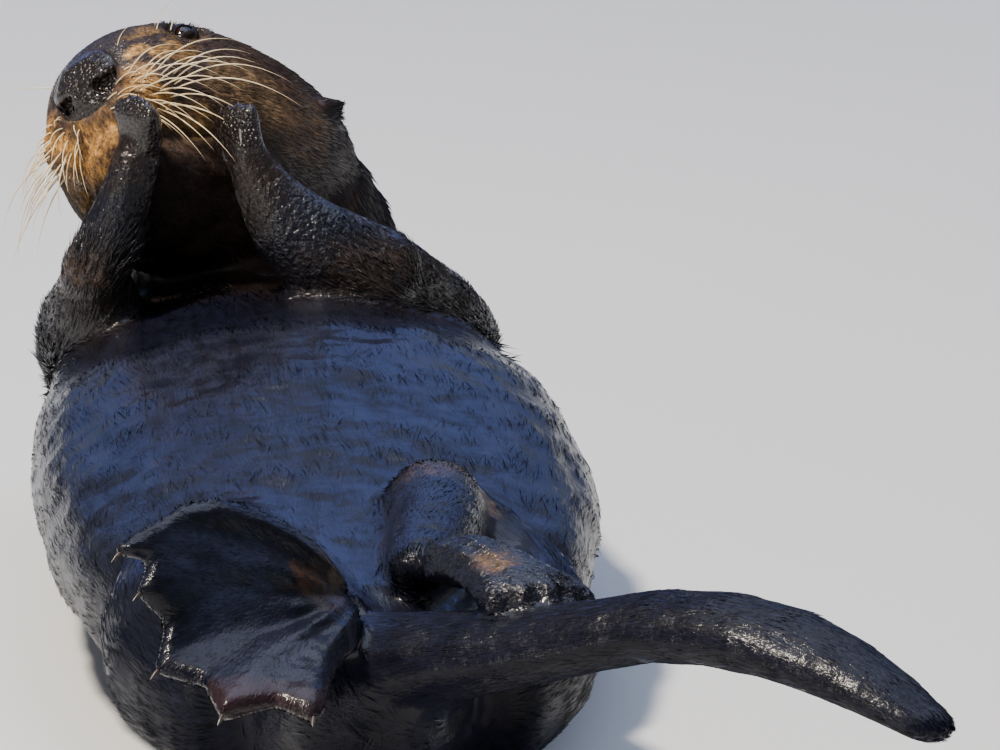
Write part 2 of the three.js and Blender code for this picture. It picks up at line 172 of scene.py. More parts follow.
world = bpy.data.worlds.new("studio")
bpy.context.scene.world = world
world.use_nodes = True
background = world.node_tree.nodes["Background"].inputs
background["Color"].default_value = srgb("DDE6F2")
background["Strength"].default_value = 0.24

# %% [markdown]
# ## A small kit for meshes and materials
# Each mesh helper hands the points over as one array. One function adds a node with its
# settings and links; the kinds that come up again and again have a short name each.


# %% Helpers for nodes
def add(tree, kind, settings=None, inputs=None):
    """Adds one node. An input is a number, a colour or another node's output socket."""
    made = tree.nodes.new(kind)
    for key, value in (settings or {}).items():
        setattr(made, key, value)
    for key, value in (inputs or {}).items():
        if isinstance(value, bpy.types.NodeSocket):
            tree.links.new(value, made.inputs[key])
        else:
            made.inputs[key].default_value = value
    return made


def spot_in(tree):
    return add(tree, "ShaderNodeTexCoord").outputs["Object"]


def stored(tree, name):
    """A value that the mesh carries."""
    return add(tree, "ShaderNodeAttribute", {"attribute_name": name}).outputs["Fac"]


def clouds(tree, at, size, detail=2.0, rough=0.5, out="Fac"):
    """Noise whose lumps are size across."""
    return add(tree, "ShaderNodeTexNoise", inputs={"Vector": at, "Scale": 1 / size, "Detail": detail,
                                                   "Roughness": rough}).outputs[out]


def sums(tree, operation, *values, kind="ShaderNodeMath"):
    return add(tree, kind, {"operation": operation}, dict(enumerate(values))).outputs[0]


def ranged(tree, value, from_min, from_max, to_min, to_max):
    return add(tree, "ShaderNodeMapRange", inputs=dict(enumerate(
        (value, from_min, from_max, to_min, to_max)))).outputs[0]


def mixed(tree, factor, *colours):
    """A colour between two, each a hex code or another node's colour."""
    first, second = (srgb(c) if isinstance(c, str) else c for c in colours)
    return add(tree, "ShaderNodeMix", {"data_type": "RGBA"},
               {0: factor, 6: first, 7: second}).outputs[2]


def bumped(tree, height, deep, strength=1.0, inputs=None, **settings):
    return add(tree, "ShaderNodeBump", settings, {"Height": height, "Strength": strength,
                                                  "Distance": deep * MM, **(inputs or {})}).outputs[0]


# %% Helpers for meshes
def read(layer, key, width=3, kind=np.float32):
    out = np.empty(len(layer) * width, kind)
    layer.foreach_get(key, out)
    return out.reshape(-1, width) if width > 1 else out


def points_of(mesh):
    return read(mesh.vertices, "co").astype(float)


def normals_of(mesh):
    return read(mesh.vertex_normals, "vector").astype(float)


def set_points(mesh, points):
    mesh.vertices.foreach_set("co", np.asarray(points, np.float32).ravel())
    mesh.update()


def store(mesh, name, values, kind="FLOAT", domain="POINT"):
    layer = mesh.attributes.get(name) or mesh.attributes.new(name, kind, domain)
    key = "vector" if kind == "FLOAT_VECTOR" else "value"
    layer.data.foreach_set(key, np.asarray(values, np.int32 if kind == "INT" else np.float32).ravel())


def forget(mesh, names):
    for name in [a.name for a in mesh.attributes if a.name in names]:
        mesh.attributes.remove(mesh.attributes[name])


def smooth(mesh):
    mesh.polygons.foreach_set("use_smooth", np.ones(len(mesh.polygons), bool))


def put(name, mesh):
    """Links a mesh to the scene as a smooth object at the origin."""
    made = bpy.data.objects.new(name, mesh)
    bpy.context.scene.collection.objects.link(made)
    smooth(mesh)
    return made


def built(name, points, faces):
    mesh = bpy.data.meshes.new(name)
    mesh.from_pydata(np.asarray(points).tolist(), [], [tuple(f) for f in faces])
    mesh.validate()
    return put(name, mesh)


def applied(piece):
    """Turns an object's live modifiers into plain mesh."""
    bpy.context.view_layer.update()
    graph = bpy.context.evaluated_depsgraph_get()
    old, mesh = piece.data, bpy.data.meshes.new_from_object(piece.evaluated_get(graph))
    piece.modifiers.clear()
    piece.data = mesh
    if not old.users:
        bpy.data.meshes.remove(old)
    smooth(mesh)
    return mesh


def modified(piece, kind, **settings):
    modifier = piece.modifiers.new(kind.lower(), kind)
    for key, value in settings.items():
        setattr(modifier, key, value)
    applied(piece)


def meshed(name, bm):
    mesh = bpy.data.meshes.new(name)
    bm.to_mesh(mesh)
    bm.free()
    return mesh


def copied(name, names):
    """One mesh from copies of CAD solids, with each solid's loose corners merged."""
    bm = bmesh.new()
    for n in names:
        bm.from_mesh(nodes[n].data)
    bmesh.ops.remove_doubles(bm, verts=bm.verts, dist=1e-6)
    mesh = meshed(name, bm)
    mesh.materials.clear()
    return put(name, mesh)


# %% Helpers for shapes
def smoothstep(x, low, high):
    t = np.clip((np.asarray(x, float) - low) / (high - low), 0, 1)
    return t * t * (3 - 2 * t)


def to_route(points, route):
    """Distance from each point to a line through the given points, and how far along it."""
    best = np.full(len(points), 1e9)
    along = np.zeros(len(points))
    for k, (a, b) in enumerate(zip(route[:-1], route[1:])):
        a, b = np.asarray(a, float), np.asarray(b, float)
        t = np.clip((points - a) @ (b - a) / ((b - a) @ (b - a)), 0, 1)
        gap = np.linalg.norm(points - a - t[:, None] * (b - a), axis=1)
        near = gap < best
        best[near], along[near] = gap[near], (k + t[near]) / (len(route) - 1)
    return best, along


def rippled(points, size, seed=0.0):
    """Smooth noise between -1 and 1 whose lumps are about size across."""
    return np.array([noise.noise(Vector(p)) for p in points / size + seed])


def swarm(points, centre, radius):
    """1 at a point of the drawing, fading to 0 round it."""
    return np.exp(-(np.linalg.norm(points - centre, axis=1) / radius) ** 2)


# %% [markdown]
# ## The skin
# A real hide has no joints in it, so the solids of flesh are copied, fused by a voxel
# remesh and relaxed until their facets and joints are gone: broad parts a lot, thin ones
# a little. One table holds what goes by the kind of flesh, for the skin and its coat.

# %% Fuse the solids
VOXEL = 1.8 * MM
skin = copied("skin", FLESH + ["nose"])     # so that the hide closes behind the nose pad
modified(skin, "REMESH", mode="VOXEL", voxel_size=VOXEL)
print("fused:", len(skin.data.vertices), "points")

# %% Which solid each point belongs to
points, faces, solid_of_face, start = [], [], [], 0
for k, n in enumerate(FLESH):
    mesh = nodes[n].data
    corners = read(mesh.polygons, "vertices", 3, np.int32) + start
    points.append(points_of(mesh))
    faces.append(corners)
    solid_of_face += [k] * len(corners)
    start += len(mesh.vertices)
SOLIDS = BVHTree.FromPolygons(np.concatenate(points).tolist(), np.concatenate(faces).tolist(),
                              all_triangles=True)


def owners(points):
    """The number in FLESH of the solid nearest to each point."""
    return np.array(solid_of_face)[np.array([SOLIDS.find_nearest(Vector(p))[2] for p in points])]


owner = owners(points_of(skin.data))
print("points by solid:", {n: int((owner == k).sum()) for k, n in enumerate(FLESH)})

# %% One table for all kinds of flesh
# How far the skin is relaxed; in mm, the depth of the coat over it and of its loose
# folds; how much its grain wanders. Then the locks: length and width in mm, thousands for
# each m2, degrees that they stand up, how evenly they shine, thickness in mm. Then the
# water on them, and how far it clumps them.
KINDS = "relax depth loose wander length width tufts stand sleek thick wet clump".split()
BY_KIND = {
    "trunk": (0.9, 1.2, 2.0, 0.45, 20, 0.9, 42, 0.4, 0.9, 0.22, 0.6, 0.05),
    "neck": (0.7, 2.0, 1.6, 1.0, 15, 1.1, 230, 3, 0.6, 0.8, 0.45, 0.2),
    "head": (0.26, 1.5, 0, 1.0, 11, 0.95, 360, 3.2, 0.6, 0.85, 0.55, 0),
    "lower_jaw": (0.3, 1.2, 0, 1.0, 6, 0.7, 520, 6, 0.5, 0.6, 0.4, 0),
    "ear": (0.3, 0.4, 0, 1.0, 2.6, 0.5, 900, 5, 0.5, 0.3, 0.4, 0),
    "upper_arm": (0.4, 1.8, 1.1, 1.0, 13, 0.9, 190, 1.2, 0.8, 0.45, 0.9, 0.6),
    "forearm": (0.2, 1.1, 0.5, 0.6, 9, 0.7, 170, 0.6, 0.9, 0.25, 1, 0.75),
    "forepaw": (0.24, 0.2, 0, 1.0, 3, 0.5, 50, 3, 0.8, 0.3, 1, 0.6),
    "thigh": (0.6, 1.3, 1.2, 0.6, 17, 0.9, 130, 0.8, 0.9, 0.3, 0.45, 0),
    "shank": (0.4, 1.2, 0.8, 0.5, 11, 1.0, 250, 0.8, 0.9, 0.35, 0.6, 0.25),
    "hind_foot_left": (0.06, 0.6, 0, 0.5, 4.5, 0.6, 330, 0.5, 0.92, 0.25, 0.8, 0.8),
    "hind_foot_right": (0.06, 0.6, 0, 0.5, 4.5, 0.6, 330, 0.5, 0.92, 0.25, 0.5, 0),
    "tail": (0.25, 1.2, 0.4, 0.5, 11, 0.9, 280, 0.8, 0.9, 0.4, 0.4, 0.2),
}


def neighbours(mesh):
    a, b = read(mesh.edges, "vertices", 2, np.int32).T
    start, end = np.concatenate([a, b]), np.concatenate([b, a])
    return start, end, np.maximum(np.bincount(start, minlength=len(mesh.vertices)), 1)


def averaged(values, ring):
    """Each point's value replaced by the mean of its neighbours'."""
    start, end, count = ring
    total = [np.bincount(start, values[end, k], len(count)) for k in range(values.shape[1])]
    return np.stack(total, 1) / count[:, None]


def blurred(values, ring, times):
    values = values if values.ndim > 1 else values[:, None]
    for _ in range(times):
        values = 0.4 * values + 0.6 * averaged(values, ring)
    return values


def by_kind(kind, times=8):
    """One column of the table, spread over the points of the skin and blurred."""
    row_of = [BY_KIND.get(n) or BY_KIND[n.rsplit("_", 1)[0]] for n in FLESH]
    column = np.array([row[KINDS.index(kind)] for row in row_of])
    return blurred(column[owner], ring, times)[:, 0]


def relaxed(mesh, amount, times, ring):
    co = points_of(mesh)
    for _ in range(times):
        co += amount * (averaged(co, ring) - co)
    set_points(mesh, co)
    return co


ring = neighbours(skin.data)
co = relaxed(skin.data, by_kind("relax", 6)[:, None], 46, ring)
print("relaxed; box", [v.round(3).tolist() for v in (co.min(0), co.max(0))])

# %% [markdown]
# ## Room for the coat, and folds
# The solids reach the tips of the fur, so the skin goes in by the depth of the coat: 1 to
# 2 mm on trunk and neck, a few tenths on the paws. Mouth, toes and the loose folds of the
# hide are pushed in by formulas: each is a line, a width and a depth.

# %% Depth of the coat
depth = by_kind("depth")
co = points_of(skin.data)
normal = normals_of(skin.data)
local = in_head(co)
HEAD_SOLIDS = [FLESH.index("head"), FLESH.index("lower_jaw")]
on_face = np.isin(owner, HEAD_SOLIDS)
depth *= np.where(on_face, 1 - 0.45 * smoothstep(local[:, 0], 30, 62), 1)
behind_nose = 1 - smoothstep(np.linalg.norm((local - [76, 0, 0]) / [1, 1.15, 1], axis=1), 15, 20)
depth += np.where(on_face, 1.0 * behind_nose + 6 * smoothstep(behind_nose, 0.35, 0.95), 0)
co -= (depth * MM)[:, None] * normal


# %% Folds and toes
def groove(points, route, width, deep):
    gap, _ = to_route(points, route)
    return -deep * np.exp(-(gap / width) ** 2)


push = np.zeros(len(co))
face = np.flatnonzero(np.isin(owner, HEAD_SOLIDS + [FLESH.index("neck")]))
p = local[face]
for s in SIDES:
    lips = [(71, 0, -27), (66, s * 10, -28), (57, s * 21, -31), (44, s * 31, -34),
            (31, s * 39, -33), (24, s * 43, -30)]
    push[face] += groove(p, lips, 2.4, 2.6)
    push[face] += groove(p, [(30, s * 45, -22), (20, s * 50, -26), (12, s * 50, -36)], 4, 1.1)
    push[face] += groove(p, [(60, s * 25, 10), (50, s * 37, 4), (38, s * 45, 4)], 4, 0.9)
    push[face] -= groove(p, [(48, s * 28, 36), (38, s * 38, 38), (28, s * 44, 34)], 4, 1.0)
push[face] += groove(p, [(77, 0, -18), (71, 0, -27)], 2.0, 1.8)

TOES = {"hind_foot": (1.3, 9, 0.25, 0.6), "forepaw": (1.5, 4.2, 0.45, 0.8)}
for kind, (high_toe, wide_toe, start, end) in TOES.items():
    for foot in (kind + "_left", kind + "_right"):
        on = np.flatnonzero(owner == FLESH.index(foot))
        ankle = np.array(ROUTES[foot][0])
        q = co[on] / MM + SHIFT
        toes = np.zeros(len(on))
        for n in range(1, 6):
            low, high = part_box(f"claw_{foot}_{n}")
            tip = np.array((low + high) / 2) / MM + SHIFT
            gap, along = to_route(q, [ankle, tip])
            toes = np.maximum(toes, high_toe * np.exp(-(gap / wide_toe) ** 2)
                              * smoothstep(along, start, end))
        push[on] += toes + 0.35 * rippled(q, 9, 3.0)

loose = by_kind("loose", 10)
spot = np.flatnonzero(loose > 0.05)
along_body = co[spot] * [1.0, 0.45, 1.0]    # folds run along the body
folds = rippled(along_body, 0.028, 1.0) + 0.5 * rippled(along_body, 0.013, 5.0)
push[spot] += loose[spot] * (folds - 0.3)
LOWEST = 1.2 * MM                           # the skin stays clear of the floor
co += (push * MM)[:, None] * normal
co[:, 2] = np.maximum(co[:, 2], LOWEST)
set_points(skin.data, co)
print("pushed between", push.min().round(1), "and", push.max().round(1), "mm")

# %% [markdown]
# ## Which way the coat lies
# Fur has a grain: back from the nose, down the body, out along each limb and tail. It is
# worked out for each point of the skin, blurred where parts meet, turned a little by
# noise, as wet fur gathers in waves, and stored with the size and number of tufts there.

# %% Grain of the coat
co = points_of(skin.data)
normal = normals_of(skin.data)
local = in_head(co)


def grain_of(name, points):
    if name in ("head", "lower_jaw"):
        return unit(points - on_head(NOSE_TIP))
    if name.startswith("ear"):
        return np.tile(unit(np.array([-0.4, 1 if name.endswith("left") else -1, 0.1]) @ HEAD_AXES),
                       (len(points), 1))
    route = np.array([place(*p) for p in ROUTES[name]])
    if name.startswith("hind_foot"):
        return unit(points - (route[0] - 0.03 * unit(route[1] - route[0])))
    steps = unit(route[1:] - route[:-1])
    middle = (route[1:] + route[:-1]) / 2
    near = 1 / (np.linalg.norm(points[:, None] - middle, axis=2) + 0.01) ** 3
    return unit((near[:, :, None] * steps).sum(1))


def by_solid(rule, points, owner):
    """A rule that gives each point of a solid a vector, used solid by solid."""
    made = np.zeros_like(points)
    for k in np.unique(owner):
        made[owner == k] = rule(FLESH[k], points[owner == k])
    return made


grain = blurred(by_solid(grain_of, co, owner), ring, 30)
twist = by_kind("wander", 0) * (0.30 * rippled(co, 0.030, 2.0) + 0.22 * rippled(co, 0.011, 8.0))
grain = unit(grain - normal * (grain * normal).sum(1)[:, None])
grain = unit(grain + twist[:, None] * np.cross(normal, grain))


# %% Flow: coordinates that run along the grain
def flow_of(name, points):
    """Coordinates in m that change fast across the fur and slowly along it."""
    if name in ("head", "lower_jaw") or name.startswith(("ear", "hind_foot")):
        foot = name.startswith("hind_foot")
        out = points - (place(*ROUTES[name][0]) if foot else on_head(NOSE_TIP))
        far = np.linalg.norm(out, axis=1, keepdims=True)
        return out / np.maximum(far, 1e-6) * (0.055 + 0.10 * far)
    route = np.array([place(*p) for p in ROUTES[name]])
    steps = route[1:] - route[:-1]
    run = np.concatenate([[0], np.cumsum(np.linalg.norm(steps, axis=1))])
    _, along = to_route(points, route)
    k = np.minimum((along * len(steps)).astype(int), len(steps) - 1)
    t = along * len(steps) - k
    heading = unit(steps)[k]
    side = unit(np.cross(heading, np.array([0.1, 0.3, 1.0])))
    off = points - route[k] - t[:, None] * steps[k]
    over = np.cross(heading, side)
    return np.stack([(off * side).sum(1), (off * over).sum(1),
                     0.10 * (run[k] + t * np.linalg.norm(steps, axis=1)[k])], 1)


# %% How much the skin bends along the grain
start, end, _ = ring
step = co[end] - co[start]
along_grain = (unit(step) * grain[start]).sum(1) ** 2
turning = ((normal[end] - normal[start]) * step).sum(1) / (step ** 2).sum(1) * MM
bend = (np.bincount(start, turning * along_grain, len(co))
        / np.maximum(np.bincount(start, along_grain, len(co)), 1e-6))
bend = blurred(np.maximum(bend, 0), ring, 8)[:, 0]       # for each mm; 0 where flat or hollow
print("tightest bends: radius", (1 / np.percentile(bend, [50, 90, 99])).round(1), "mm")

# %% Length, width and number of tufts
length, width, thick, stand, sleek = map(by_kind, ("length", "width", "thick", "stand", "sleek"))
tufts = by_kind("tufts", 4)
HIGHEST = 0.9      # mm that the tip of a straight lock may stand off where the skin bends away
SHORTEST = 3.5
length = np.minimum(length, np.maximum(np.sqrt(2 * HIGHEST / np.maximum(bend, 1e-4)), SHORTEST))
SPIKY = [   # where wet fur breaks into spikes: place on the drawing in mm, radius, degrees
    ((-103, 523, 152), 16, 24), ((-82, 523, 157), 14, 20), ((40, 513, 152), 16, 24),
    ((62, 520, 150), 18, 18), ((-40, 570, 110), 26, 14), ((20, 560, 122), 22, 16),
    ((88, 14, 134), 9, 26), ((92, 560, 96), 26, 12), ((-112, 565, 96), 26, 12),
    ((0, 640, 60), 60, 7),
]
drawn = co / MM + SHIFT
for centre, radius, degrees in SPIKY:
    near_it = swarm(drawn, centre, radius)
    stand += degrees * near_it
    length *= 1 + 0.35 * near_it
    sleek *= 1 - 0.8 * near_it
snout = smoothstep(local[:, 0], -35, 62) * on_face       # shorter, finer fur towards the nose
length *= 1 - 0.68 * snout
width *= 1 - 0.38 * snout
tufts *= 1 + 0.9 * snout

# %% Bare places: round the nose, round the eyes and on the paw pads
bare = 1 - smoothstep(np.linalg.norm((local - [76, 0, 0]) / [1, 1.1, 1], axis=1), 19, 22)
for s in SIDES:
    bare = np.maximum(bare, 1 - smoothstep(np.linalg.norm(local - EYE_PLACE[s], axis=1), 10.5, 13))
PAWS = ("forepaw_left", "forepaw_right")


def past_wrist(paw, points):
    """How far in mm each point is beyond the wrist, and where the wrist is."""
    wrist, tip = (place(*p) for p in ROUTES[paw])
    return (points - wrist) @ unit(tip - wrist) / MM, wrist


for paw in PAWS:
    pad = smoothstep(past_wrist(paw, co)[0], -2, 6)
    bare = np.where(owner == FLESH.index(paw), np.maximum(bare, pad), bare)
tufts *= 1 - bare

# %% Water
wet = by_kind("wet", 20)
wet *= 1 - swarm(drawn, (-72, 618, 121), 42)             # the throat is sheltered
wet *= 0.2 + 0.8 * smoothstep(co[:, 2], 0.03, 0.10)      # the underside holds less water
clump = by_kind("clump", 20) + 0.5 * swarm(drawn, (8, 514, 162), 26)
WATER = {"wet": wet, "clump": clump}
TUFT_DATA = {"length": length, "width": width, "thick": thick, "tufts": tufts * 1000,
             "stand": np.radians(stand), "sleek": sleek}
for name, values in {**WATER, **TUFT_DATA}.items():
    store(skin.data, name, values)
store(skin.data, "grain", grain, "FLOAT_VECTOR")
print("tufts for each m2, least and most:", (1000 * tufts).min().round(), (1000 * tufts).max().round())

# %% [markdown]
# ## Markings
# A wet sea otter is near black, with a paler, grizzled head and neck and a tawny muzzle.
# Skin and coat must agree, so both ask one node group for the colour of a place. It lays
# soft-edged patches, each a squeezed ball with a ragged edge, over the dark ground. The
# ground's navy cast is painted sky reflection, and a few patches are painted sheen,
# reflection or shade.

# %% Colours and patches
# The ground is near-black fur with a navy cast that is painted sky reflection; BACK_BROWN is the fur's
# own dark brown.
NEAR_BLACK_WITH_SKY_BLUE, BACK_BROWN = "0C1023", "15141B"
CROWN, CHEEK, NECK = "48392F", "735A45", "4A3D33"
TAWNY, GOLD, CREAM, ARM = "94723F", "D9A052", "E6B36C", "1D1410"
HEAD_TURN = Matrix(HEAD_AXES.T.tolist()).to_euler()


def face_patch(centre, radii, colour, strength=1.0, streaky=True):
    return on_head(centre), HEAD_TURN, np.array(radii) * MM, colour, strength, streaky


def body_patch(centre, radii, colour, strength=1.0, streaky=False):
    return place(*centre), (0, 0, 0), np.array(radii) * MM, colour, strength, streaky


PATCHES = [
    face_patch((-8, 0, 0), (112, 92, 92), CROWN, streaky=False),
    # painted sheen: a bluish-grey band over the top of the head, where wet fur mirrors the sky
    face_patch((-6, 0, 66), (72, 50, 24), "42424E", 0.75, streaky=False),
    body_patch((-20, 628, 120), (100, 62, 92), NECK, 0.75),
    body_patch((-30, 575, 112), (75, 55, 40), "261D19", 0.85),
    face_patch((58, 0, -24), (52, 56, 34), CHEEK, 0.9),
    face_patch((66, -6, -32), (28, 28, 20), GOLD, 0.85),
]
for s in SIDES:
    PATCHES += [
        face_patch((62, s * 28, -24), (26, 20, 15), GOLD),
        face_patch((42, s * 42, -28), (22, 15, 14), TAWNY, 0.8),
        face_patch((70, s * 31, -10), (13, 11, 13), GOLD, 0.95),
        face_patch((63, s * 32, 7), (15, 10, 7), CREAM, 0.85),
        face_patch((48, s * 42, 10), (20, 10, 8), TAWNY, 0.9),
        face_patch((54, s * 27, 24), (24, 14, 9), TAWNY, 0.8),
        face_patch((42, s * 42, 24), (14, 13, 12), TAWNY, 0.9),
        face_patch((18, s * 58, -8), (42, 16, 22), "8A7152", 0.8),
        face_patch((-20, s * 62, -14), (30, 16, 34), CHEEK, 0.8),
    ]
for s in SIDES:                                   # dark skin round the eyes
    PATCHES += [face_patch(EYE_PLACE[s] + [5, s * 6, 3], (15, 15, 15), "1B130F", streaky=False)]
PATCHES += [
    # painted shade: near black in the throat, between the arms and under the chin
    body_patch((-73, 618, 122), (32, 42, 30), "0C0807"),
    # painted sky reflection: a navy cast on the top of the right hind foot
    body_patch((-70, -14, 150), (52, 34, 26), "1E2438", 0.8),
    body_patch((-98, 550, 140), (34, 60, 60), ARM, 0.9),
    body_patch((-76, 538, 205), (32, 26, 52), ARM, 0.9),
    body_patch((36, 552, 130), (78, 60, 52), ARM, 0.9),
    body_patch((-20, 538, 190), (44, 30, 56), ARM, 0.9),
    body_patch((-103, 528, 150), (18, 20, 13), "55402F", 0.6, streaky=True),
    body_patch((34, 516, 152), (50, 22, 20), "45362C", 0.6, streaky=True),
    body_patch((-27, 8, 139), (18, 13, 12), "76522A", 0.6, streaky=True),
    body_patch((-10, 22, 146), (8, 18, 24), "8F7446", 0.7, streaky=True),
    body_patch((59, 20, 141), (15, 16, 12), "7D5A28", 0.75, streaky=True),
    body_patch((46, 184, 140), (30, 24, 13), "52401F", 0.55, streaky=True),
    body_patch((66, 172, 128), (8, 20, 14), "6C5830", 0.55, streaky=True),
    body_patch((-64, -72, 104), (80, 20, 12), "2E1D20", 0.7),
    body_patch((-16, 14, 136), (16, 22, 20), "352C2A", 0.7),
]

# %% One group for skin and coat
markings = bpy.data.node_groups.new("otter markings", "ShaderNodeTree")
markings.interface.new_socket("Color", in_out="OUTPUT", socket_type="NodeSocketColor")
spot = spot_in(markings)


def framed(at, centre, turn, size):
    """Coordinates in a box of the given size, turned and moved to a place."""
    return add(markings, "ShaderNodeMapping", {"vector_type": "TEXTURE"},
               {"Vector": at, "Location": centre, "Rotation": turn, "Scale": size}).outputs[0]


ragged = sums(markings, "SUBTRACT", clouds(markings, spot, 0.011, 3.0, out="Color"), (0.5, 0.5, 0.5),
              kind="ShaderNodeVectorMath")
moved = sums(markings, "MULTIPLY_ADD", ragged, (0.022, 0.022, 0.022), spot,
             kind="ShaderNodeVectorMath")
colour = mixed(markings, clouds(markings, spot, 0.09, 4.0), NEAR_BLACK_WITH_SKY_BLUE, BACK_BROWN)
streaks = clouds(markings, framed(spot, HEAD, HEAD_TURN, (0.026, 0.0075, 0.0075)), 1.0, 4.0, 0.62)
flecks = clouds(markings, framed(spot, HEAD, HEAD_TURN, (0.010, 0.0024, 0.0024)), 1.0, 3.0, 0.6)
grizzle = sums(markings, "MULTIPLY", ranged(markings, streaks, 0.36, 0.62, 0.22, 1.0),
               ranged(markings, flecks, 0.38, 0.56, 0.4, 1.0))
for centre, turn, radii, code, strength, streaky in PATCHES:
    inside = add(markings, "ShaderNodeTexGradient", {"gradient_type": "SPHERICAL"},
                 {"Vector": framed(moved, centre, turn, radii)})
    soft = add(markings, "ShaderNodeMapRange", {"interpolation_type": "SMOOTHSTEP"},
               {"Value": inside.outputs["Fac"], "From Min": 0.02, "From Max": 0.6,
                "To Max": strength}).outputs[0]
    if streaky:                             # paler fur comes in streaks
        soft = sums(markings, "MULTIPLY", soft, grizzle)
    colour = mixed(markings, soft, colour, code)
add(markings, "NodeGroupOutput", inputs={"Color": colour})
print("patches:", len(PATCHES), "nodes:", len(markings.nodes))


# %% A new material, and the group inside it
def material(name, **sockets):
    made = bpy.data.materials.new(name)
    made.use_nodes = True
    tree = made.node_tree
    shader = tree.nodes["Principled BSDF"]
    for key, value in sockets.items():
        shader.inputs[key.replace("_", " ")].default_value = value
    return made, tree, shader


def painted(tree, shader, colour):
    tree.links.new(colour, shader.inputs["Base Color"])


def marked(tree, shader, light):
    """Paints a shader with the markings, made lighter or darker."""
    marks = add(tree, "ShaderNodeGroup", {"node_tree": markings}).outputs["Color"]
    painted(tree, shader, add(tree, "ShaderNodeVectorMath", {"operation": "SCALE"},
                              {0: marks, "Scale": light}).outputs[0])


# %% [markdown]
# ## Wet fur, and the hide under it
# Hair is keratin, with an IOR near 1.5, under a film of water (IOR 1.33) that gives sharp
# glints: a clear coat. A tuft is darker at its root, paler at its tip and has a shade of
# its own, and fine strands run along it.

# %% Relief that the hide and the tufts on it share
relief = bpy.data.node_groups.new("wet relief", "ShaderNodeTree")
relief.interface.new_socket("Normal", in_out="OUTPUT", socket_type="NodeSocketVector")
relief.interface.new_socket("Wet", in_out="OUTPUT", socket_type="NodeSocketFloat")
spot = spot_in(relief)
broad = bumped(relief, clouds(relief, spot, 0.022, 1.5), 2.2)
lumps = sums(relief, "MULTIPLY", clouds(relief, spot, 0.0029), stored(relief, "clump"))
add(relief, "NodeGroupOutput", inputs={
    "Normal": bumped(relief, lumps, 1.7, inputs={"Normal": broad}), "Wet": stored(relief, "wet")})


def made_wet(tree, shader, height, strength, deep):
    """Wets a shader: a coat of water where the skin is wet, and the shared relief."""
    water = add(tree, "ShaderNodeGroup", {"node_tree": relief}).outputs
    fine = bumped(tree, height, deep, strength, {"Normal": water["Normal"]})
    gloss = sums(tree, "MULTIPLY", water["Wet"], 0.25)
    for name, value in (("Normal", fine), ("Coat Normal", fine), ("Coat Weight", water["Wet"]),
                        ("Specular IOR Level", gloss)):
        tree.links.new(value, shader.inputs[name])


WATER_FILM = {"Coat_Roughness": 0.11, "Coat_IOR": 1.33}

# %% Wet fur of the coat
fur, tree, shader = material("wet_guard_hair", Roughness=0.37, IOR=1.5, **WATER_FILM)
lock = add(tree, "ShaderNodeAttribute", {"attribute_name": "lock"})      # across, along, shade
_, along, own = add(tree, "ShaderNodeSeparateXYZ", inputs={0: lock.outputs["Vector"]}).outputs
strands = clouds(tree, sums(tree, "MULTIPLY", lock.outputs["Vector"], (7.0, 0.9, 90.0),
                            kind="ShaderNodeVectorMath"), 1.0)
light = sums(tree, "MULTIPLY", ranged(tree, along, 0, 1, 0.45, 1.35), ranged(tree, own, 0, 1, 0.5, 1.7))
light = sums(tree, "MULTIPLY", light, ranged(tree, strands, 0.3, 0.7, 0.6, 1.4))
marked(tree, shader, light)
made_wet(tree, shader, strands, ranged(tree, stored(tree, "sleek"), 0.5, 0.95, 0.55, 0.07), 0.3)

# %% The hide, with fur slicked flat on it
MEAN_HEIGHT = 1.5                           # of strands and wisps together
hide, tree, shader = material("wet_slicked_fur", Roughness=0.38, IOR=1.5, **WATER_FILM)
flow = add(tree, "ShaderNodeAttribute", {"attribute_name": "flow"}).outputs["Vector"]
both = sums(tree, "MULTIPLY_ADD", clouds(tree, flow, 0.006), 2.0, clouds(tree, flow, 0.0011, 3.0, 0.6))
even = add(tree, "ShaderNodeMix", {"data_type": "FLOAT"},                # where flow jumps
           {0: stored(tree, "torn"), 2: both, 3: MEAN_HEIGHT}).outputs[0]
marked(tree, shader, ranged(tree, even, 1.1, 1.95, 0.45, 1.5))
made_wet(tree, shader, even, 0.85, 0.5)

# %% [markdown]
# Bare skin on the nose and paw pads is grained like leather, in grains about 2 mm
# across, and shines under its coat of water.

# %% Wet, grained bare skin
bare_skin, tree, shader = material("wet_grained_skin", Roughness=0.3, IOR=1.45,
                                   Specular_IOR_Level=0.4, Coat_Weight=1.0, **WATER_FILM)
spot = spot_in(tree)
grains = add(tree, "ShaderNodeTexVoronoi", {"feature": "SMOOTH_F1"},
             {"Vector": spot, "Scale": 1 / 0.0019, "Smoothness": 0.4})
base = mixed(tree, clouds(tree, spot, 0.009, 3.0), "0F0B0C", "221815")
# painted shade: the colour goes near black with the depth of each nostril
base = mixed(tree, stored(tree, "hollow"), base, "040303")               # deep in a nostril
# painted highlight: a pale wet glint along the lower edge of the nostril wings
painted(tree, shader, mixed(tree, stored(tree, "rim"), base, "A89E8B"))  # pale lower edge
tree.links.new(bumped(tree, grains.outputs["Distance"], 1.4, invert=True), shader.inputs["Normal"])
print("materials:", [m.name for m in bpy.data.materials if m.name.startswith("wet")])

# %% [markdown]
# ## Nose pad
# One bare, grained pad with two comma-shaped nostrils that open to the sides, fused at a
# finer voxel than the skin, because every dimple on it catches the light.

